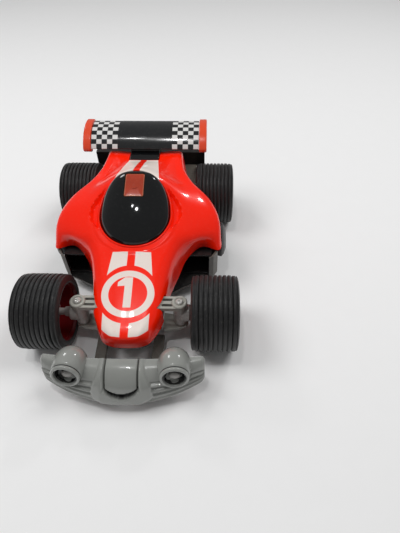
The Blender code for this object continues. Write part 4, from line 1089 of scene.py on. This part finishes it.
def bumper_beam():
    """The beam with its panel, frame, slot and ridges, and the painted shade of the slot and the grooves at
    each point.
    """
    stations = set()
    x = -BUMPER_HALF_WIDTH
    while x < BUMPER_HALF_WIDTH:
        stations.add(round(x, 3))
        x += 0.22 if abs(abs(x) - PANEL_X) < 1.6 else 0.8
    stations.add(BUMPER_HALF_WIDTH)
    rings, painted_shades = [], []
    for x in sorted(stations):
        corners = bumper_section(x)
        front = curve_through(corners[:5], FRONT_STEPS)
        lengths = [0.0]
        for a, b in zip(front, front[1:]):
            lengths.append(lengths[-1] + (b - a).length)
        ring, black = [], []
        for index, point in enumerate(front):
            ahead = front[min(index + 1, len(front) - 1)] - front[max(index - 1, 0)]
            out = Vector((0, ahead.z, -ahead.y)).normalized()
            if out.y > 0:
                out.negate()
            height, dark = bumper_relief(x, lengths[index] / lengths[-1])
            ease = 1 - 0.6 * smooth(BUMPER_HALF_WIDTH - 2.5, BUMPER_HALF_WIDTH, abs(x))
            ring.append(point + out * height * ease * (1 if index < len(front) - 1 else 0.3))
            black.append(dark)
        back = curve_through(corners[4:] + [corners[0]], BACK_STEPS)[1:-1]
        ring += back
        black += [0.0] * len(back)
        round_off = max(0.0, abs(x) - (BUMPER_HALF_WIDTH - BUMPER_END_ROUND)) / BUMPER_END_ROUND
        shrink = math.sqrt(1 - 0.42 * round_off ** 2)
        centre = sum(ring, Vector()) / len(ring)
        rings.append([centre + (p - centre) * shrink for p in ring])
        painted_shades.append(black)
    return rings, painted_shades


# (reach along the lamp's axis, radius) of the lamp's parts
POD_SECTION = [(-26.4, 0), (-26.1, 3.0), (-24.9, 6.3), (-22.6, 9.2), (-19.2, 11.6), (-15.4, 12.8),
               (-11.4, 13.2), (-7.6, 12.9), (-4.6, 12.2), (-2.6, 11.7), (-2.3, 11.2), (-2.0, 10.9),
               (-1.7, 11.2), (-1.2, 11.5), (-0.2, 11.4), (0.6, 11.0), (1.0, 10.3), (1.0, 9.6),
               (0.6, 9.1), (-0.4, 8.8), (-7.2, 8.4), (-7.2, 0)]
POD_GROOVE_SECTION = [(-2.9, 10.1), (-2.9, 11.38), (-2.35, 11.32), (-1.8, 11.20), (-1.8, 10.1)]
CUP_SECTION = [(-7.0, 0), (-7.0, 8.1), (-1.2, 8.7), (-0.7, 8.5), (-0.9, 8.1), (-4.2, 7.6), (-5.9, 5.5),
               (-6.3, 0)]
BULB_RADII = (4.6, 2.4, 3.4)


def lamp_axis():
    """Direction in which the +X headlamp points: a little up and outwards."""
    ahead = Vector((0, -math.cos(LENS_TILT), math.sin(LENS_TILT)))
    ahead.rotate(Matrix.Rotation(LENS_TOE, 3, "Z"))
    return ahead


def make_bumper():
    """Beam, lamp pods with their cups and bulbs, and the beam's two arms."""
    rings, painted_shades = bumper_beam()
    beam = piece("bumper_beam", loft(rings), "bumper", angle=60)
    # the painted shade of the slot and the grooves goes on the beam as the 'groove' attribute
    attribute = beam.data.attributes.new("groove", "FLOAT", "POINT")
    attribute.data.foreach_set("value", [value for row in painted_shades for value in row])
    axis = lamp_axis()
    centre = Vector(LENS_CENTRE) + Vector((-0.3, 0, 0.5))
    for name, side in SIDES.items():
        pod = turned(POD_SECTION, centre, 88, axis)
        piece("lamp_pod_" + name, flip(pod, side), "bumper", angle=50)
        ring = turned(POD_GROOVE_SECTION, centre, 88, axis)
        piece("lamp_groove_" + name, flip(ring, side), "bumper", finish="pod_black", angle=50)
        cup = turned(CUP_SECTION, centre, 72, axis)
        piece("headlamp_cup_" + name + "_fine", flip(cup, side), "headlamp_cup_" + name, finish="gloss_black",
              angle=50)
        bulb = bmesh.new()
        bmesh.ops.create_uvsphere(bulb, u_segments=40, v_segments=20, radius=1)
        bmesh.ops.scale(bulb, vec=BULB_RADII, verts=bulb.verts)
        bmesh.ops.rotate(bulb, cent=(0, 0, 0), matrix=Matrix.Rotation(-LENS_TILT, 3, "X"),
                         verts=bulb.verts)
        bmesh.ops.translate(bulb, vec=centre + axis * -4.2 + Vector((0, 0, -2.0)), verts=bulb.verts)
        piece("headlamp_bulb_" + name + "_fine", flip(bulb, side), "headlamp_bulb_" + name, angle=50)
        refined("bumper_arm_" + name, 0.6)


# --- Chassis and hidden pieces ---

def make_chassis():
    """Tub, deck, pods and covers; the hidden nodes only get their finish."""
    refined("chassis_tub", 0.4)
    refined("rear_deck", 0.8, finish="deck")
    low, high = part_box("rear_deck")
    rim_x = WHEEL_INNER_X - 0.7
    top = high.z / MM - 0.2
    rim = block((-rim_x, low.y / MM - FRONT_Y - 0.2, top - 2.2), (rim_x, high.y / MM - FRONT_Y + 0.2, top))
    piece("rear_deck_rim", rim, "rear_deck", finish="deck", bevel=0.6, hides=False)
    refined("rear_bumper", 1.6)
    refined("battery_cover", 0.4)
    refined("switch_slider", 0.3)
    for name in SIDES:
        refined("side_pod_" + name, 0.9)
        refined("axle_bush_" + name, 0.3)
    replaced = {n for o in bpy.data.objects for n in o.get("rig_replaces", [])}
    for node, item in frame["nodes"].items():
        if node not in replaced:
            for place in item.material_slots:
                place.material = FINISHES[SLOT_OF[node]]


# --- Studio ---

def look(item, place, target):
    """Put a light or camera at place, facing target."""
    item.location = place
    item.rotation_euler = (Vector(target) - Vector(place)).to_track_quat("-Z", "Y").to_euler()


def area_light(name, place, target, size, watts, mirrored):
    """A round light. Where mirrored is False, gloss doesn't show the lamp itself."""
    light = bpy.data.lights.new(name, "AREA")
    light.shape = "DISK"
    light.size = size
    light.energy = watts
    item = add_object(name, light)
    item.visible_glossy = mirrored
    look(item, place, target)


FLOOR_REACH = 3.0
WORLD_STRENGTH = 0.24
LIGHT_TARGET = (0, 0, 0.05)
# name, place, size, watts, and whether gloss shows the lamp
LIGHTS = [("key", (-0.05, -0.12, 1.15), 0.06, 1.3, True),
          ("second", (-0.20, -0.04, 1.15), 0.035, 0.45, True),
          ("glint_right", (0.55, 0.80, 0.75), 0.09, 0.9, True),
          ("glint_left", (-0.60, 0.75, 0.80), 0.22, 1.0, True),
          ("soft_left", (-0.7, 0.1, 1.15), 0.7, 6.9, False),
          ("soft_right", (0.7, 0.25, 1.15), 0.7, 5.8, False)]
CAMERA_FOCAL = 0.7695684803     # focal length over the picture's height
CAMERA_PLACE = (64.87, -199.79, 316.93)
CAMERA_PITCH, CAMERA_YAW, CAMERA_ROLL = [math.radians(a) for a in (48.503, 1.643, -0.620)]


def make_camera():
    """The camera at the photo's viewing angle."""
    camera = bpy.data.cameras.new("camera")
    item = add_object("camera", camera)
    level = Vector((math.cos(CAMERA_YAW), math.sin(CAMERA_YAW), 0))
    ahead = Vector((-math.sin(CAMERA_YAW) * math.cos(CAMERA_PITCH),
                    math.cos(CAMERA_YAW) * math.cos(CAMERA_PITCH), -math.sin(CAMERA_PITCH)))
    down = ahead.cross(level)
    right = level * math.cos(CAMERA_ROLL) - down * math.sin(CAMERA_ROLL)
    lower = level * math.sin(CAMERA_ROLL) + down * math.cos(CAMERA_ROLL)
    place = Matrix((right, -lower, -ahead)).transposed().to_4x4()
    x, y, z = CAMERA_PLACE
    place.translation = Vector((x, y + FRONT_Y, z)) * MM
    item.matrix_world = place
    camera.sensor_width = 36
    camera.sensor_fit = "AUTO"
    camera.lens = CAMERA_FOCAL * camera.sensor_width
    camera.clip_start = 0.01
    bpy.context.scene.camera = item


def make_studio():
    """Plain pale floor, world and lights. Places are in metres."""
    floor_mesh = bpy.data.meshes.new("floor")
    far = FLOOR_REACH
    floor_mesh.from_pydata([(-far, -far, 0), (far, -far, 0), (far, far, 0), (-far, far, 0)], [],
                           [(0, 1, 2, 3)])
    floor = add_object("floor", floor_mesh)
    paint = Finish("floor", (0.86, 0.86, 0.86), 0.7, variation=0.01, dust=0.0)
    floor_mesh.materials.append(paint.done())
    world = bpy.data.worlds.new("studio")
    world.use_nodes = True
    background = world.node_tree.nodes["Background"]
    background.inputs["Color"].default_value = (1, 1, 1, 1)
    background.inputs["Strength"].default_value = WORLD_STRENGTH
    bpy.context.scene.world = world
    for name, place, size, watts, mirrored in LIGHTS:
        area_light(name, place, LIGHT_TARGET, size, watts, mirrored)
    bpy.context.scene.view_settings.view_transform = "Standard"


make_camera()
make_studio()
make_shell()
make_canopy()
make_bumper()
make_wing()
make_steering()
for wheel, wheel_side in SIDES.items():
    make_wheel("front_" + wheel, wheel_side, 0)
    make_wheel("rear_" + wheel, wheel_side, WHEELBASE)
make_chassis()
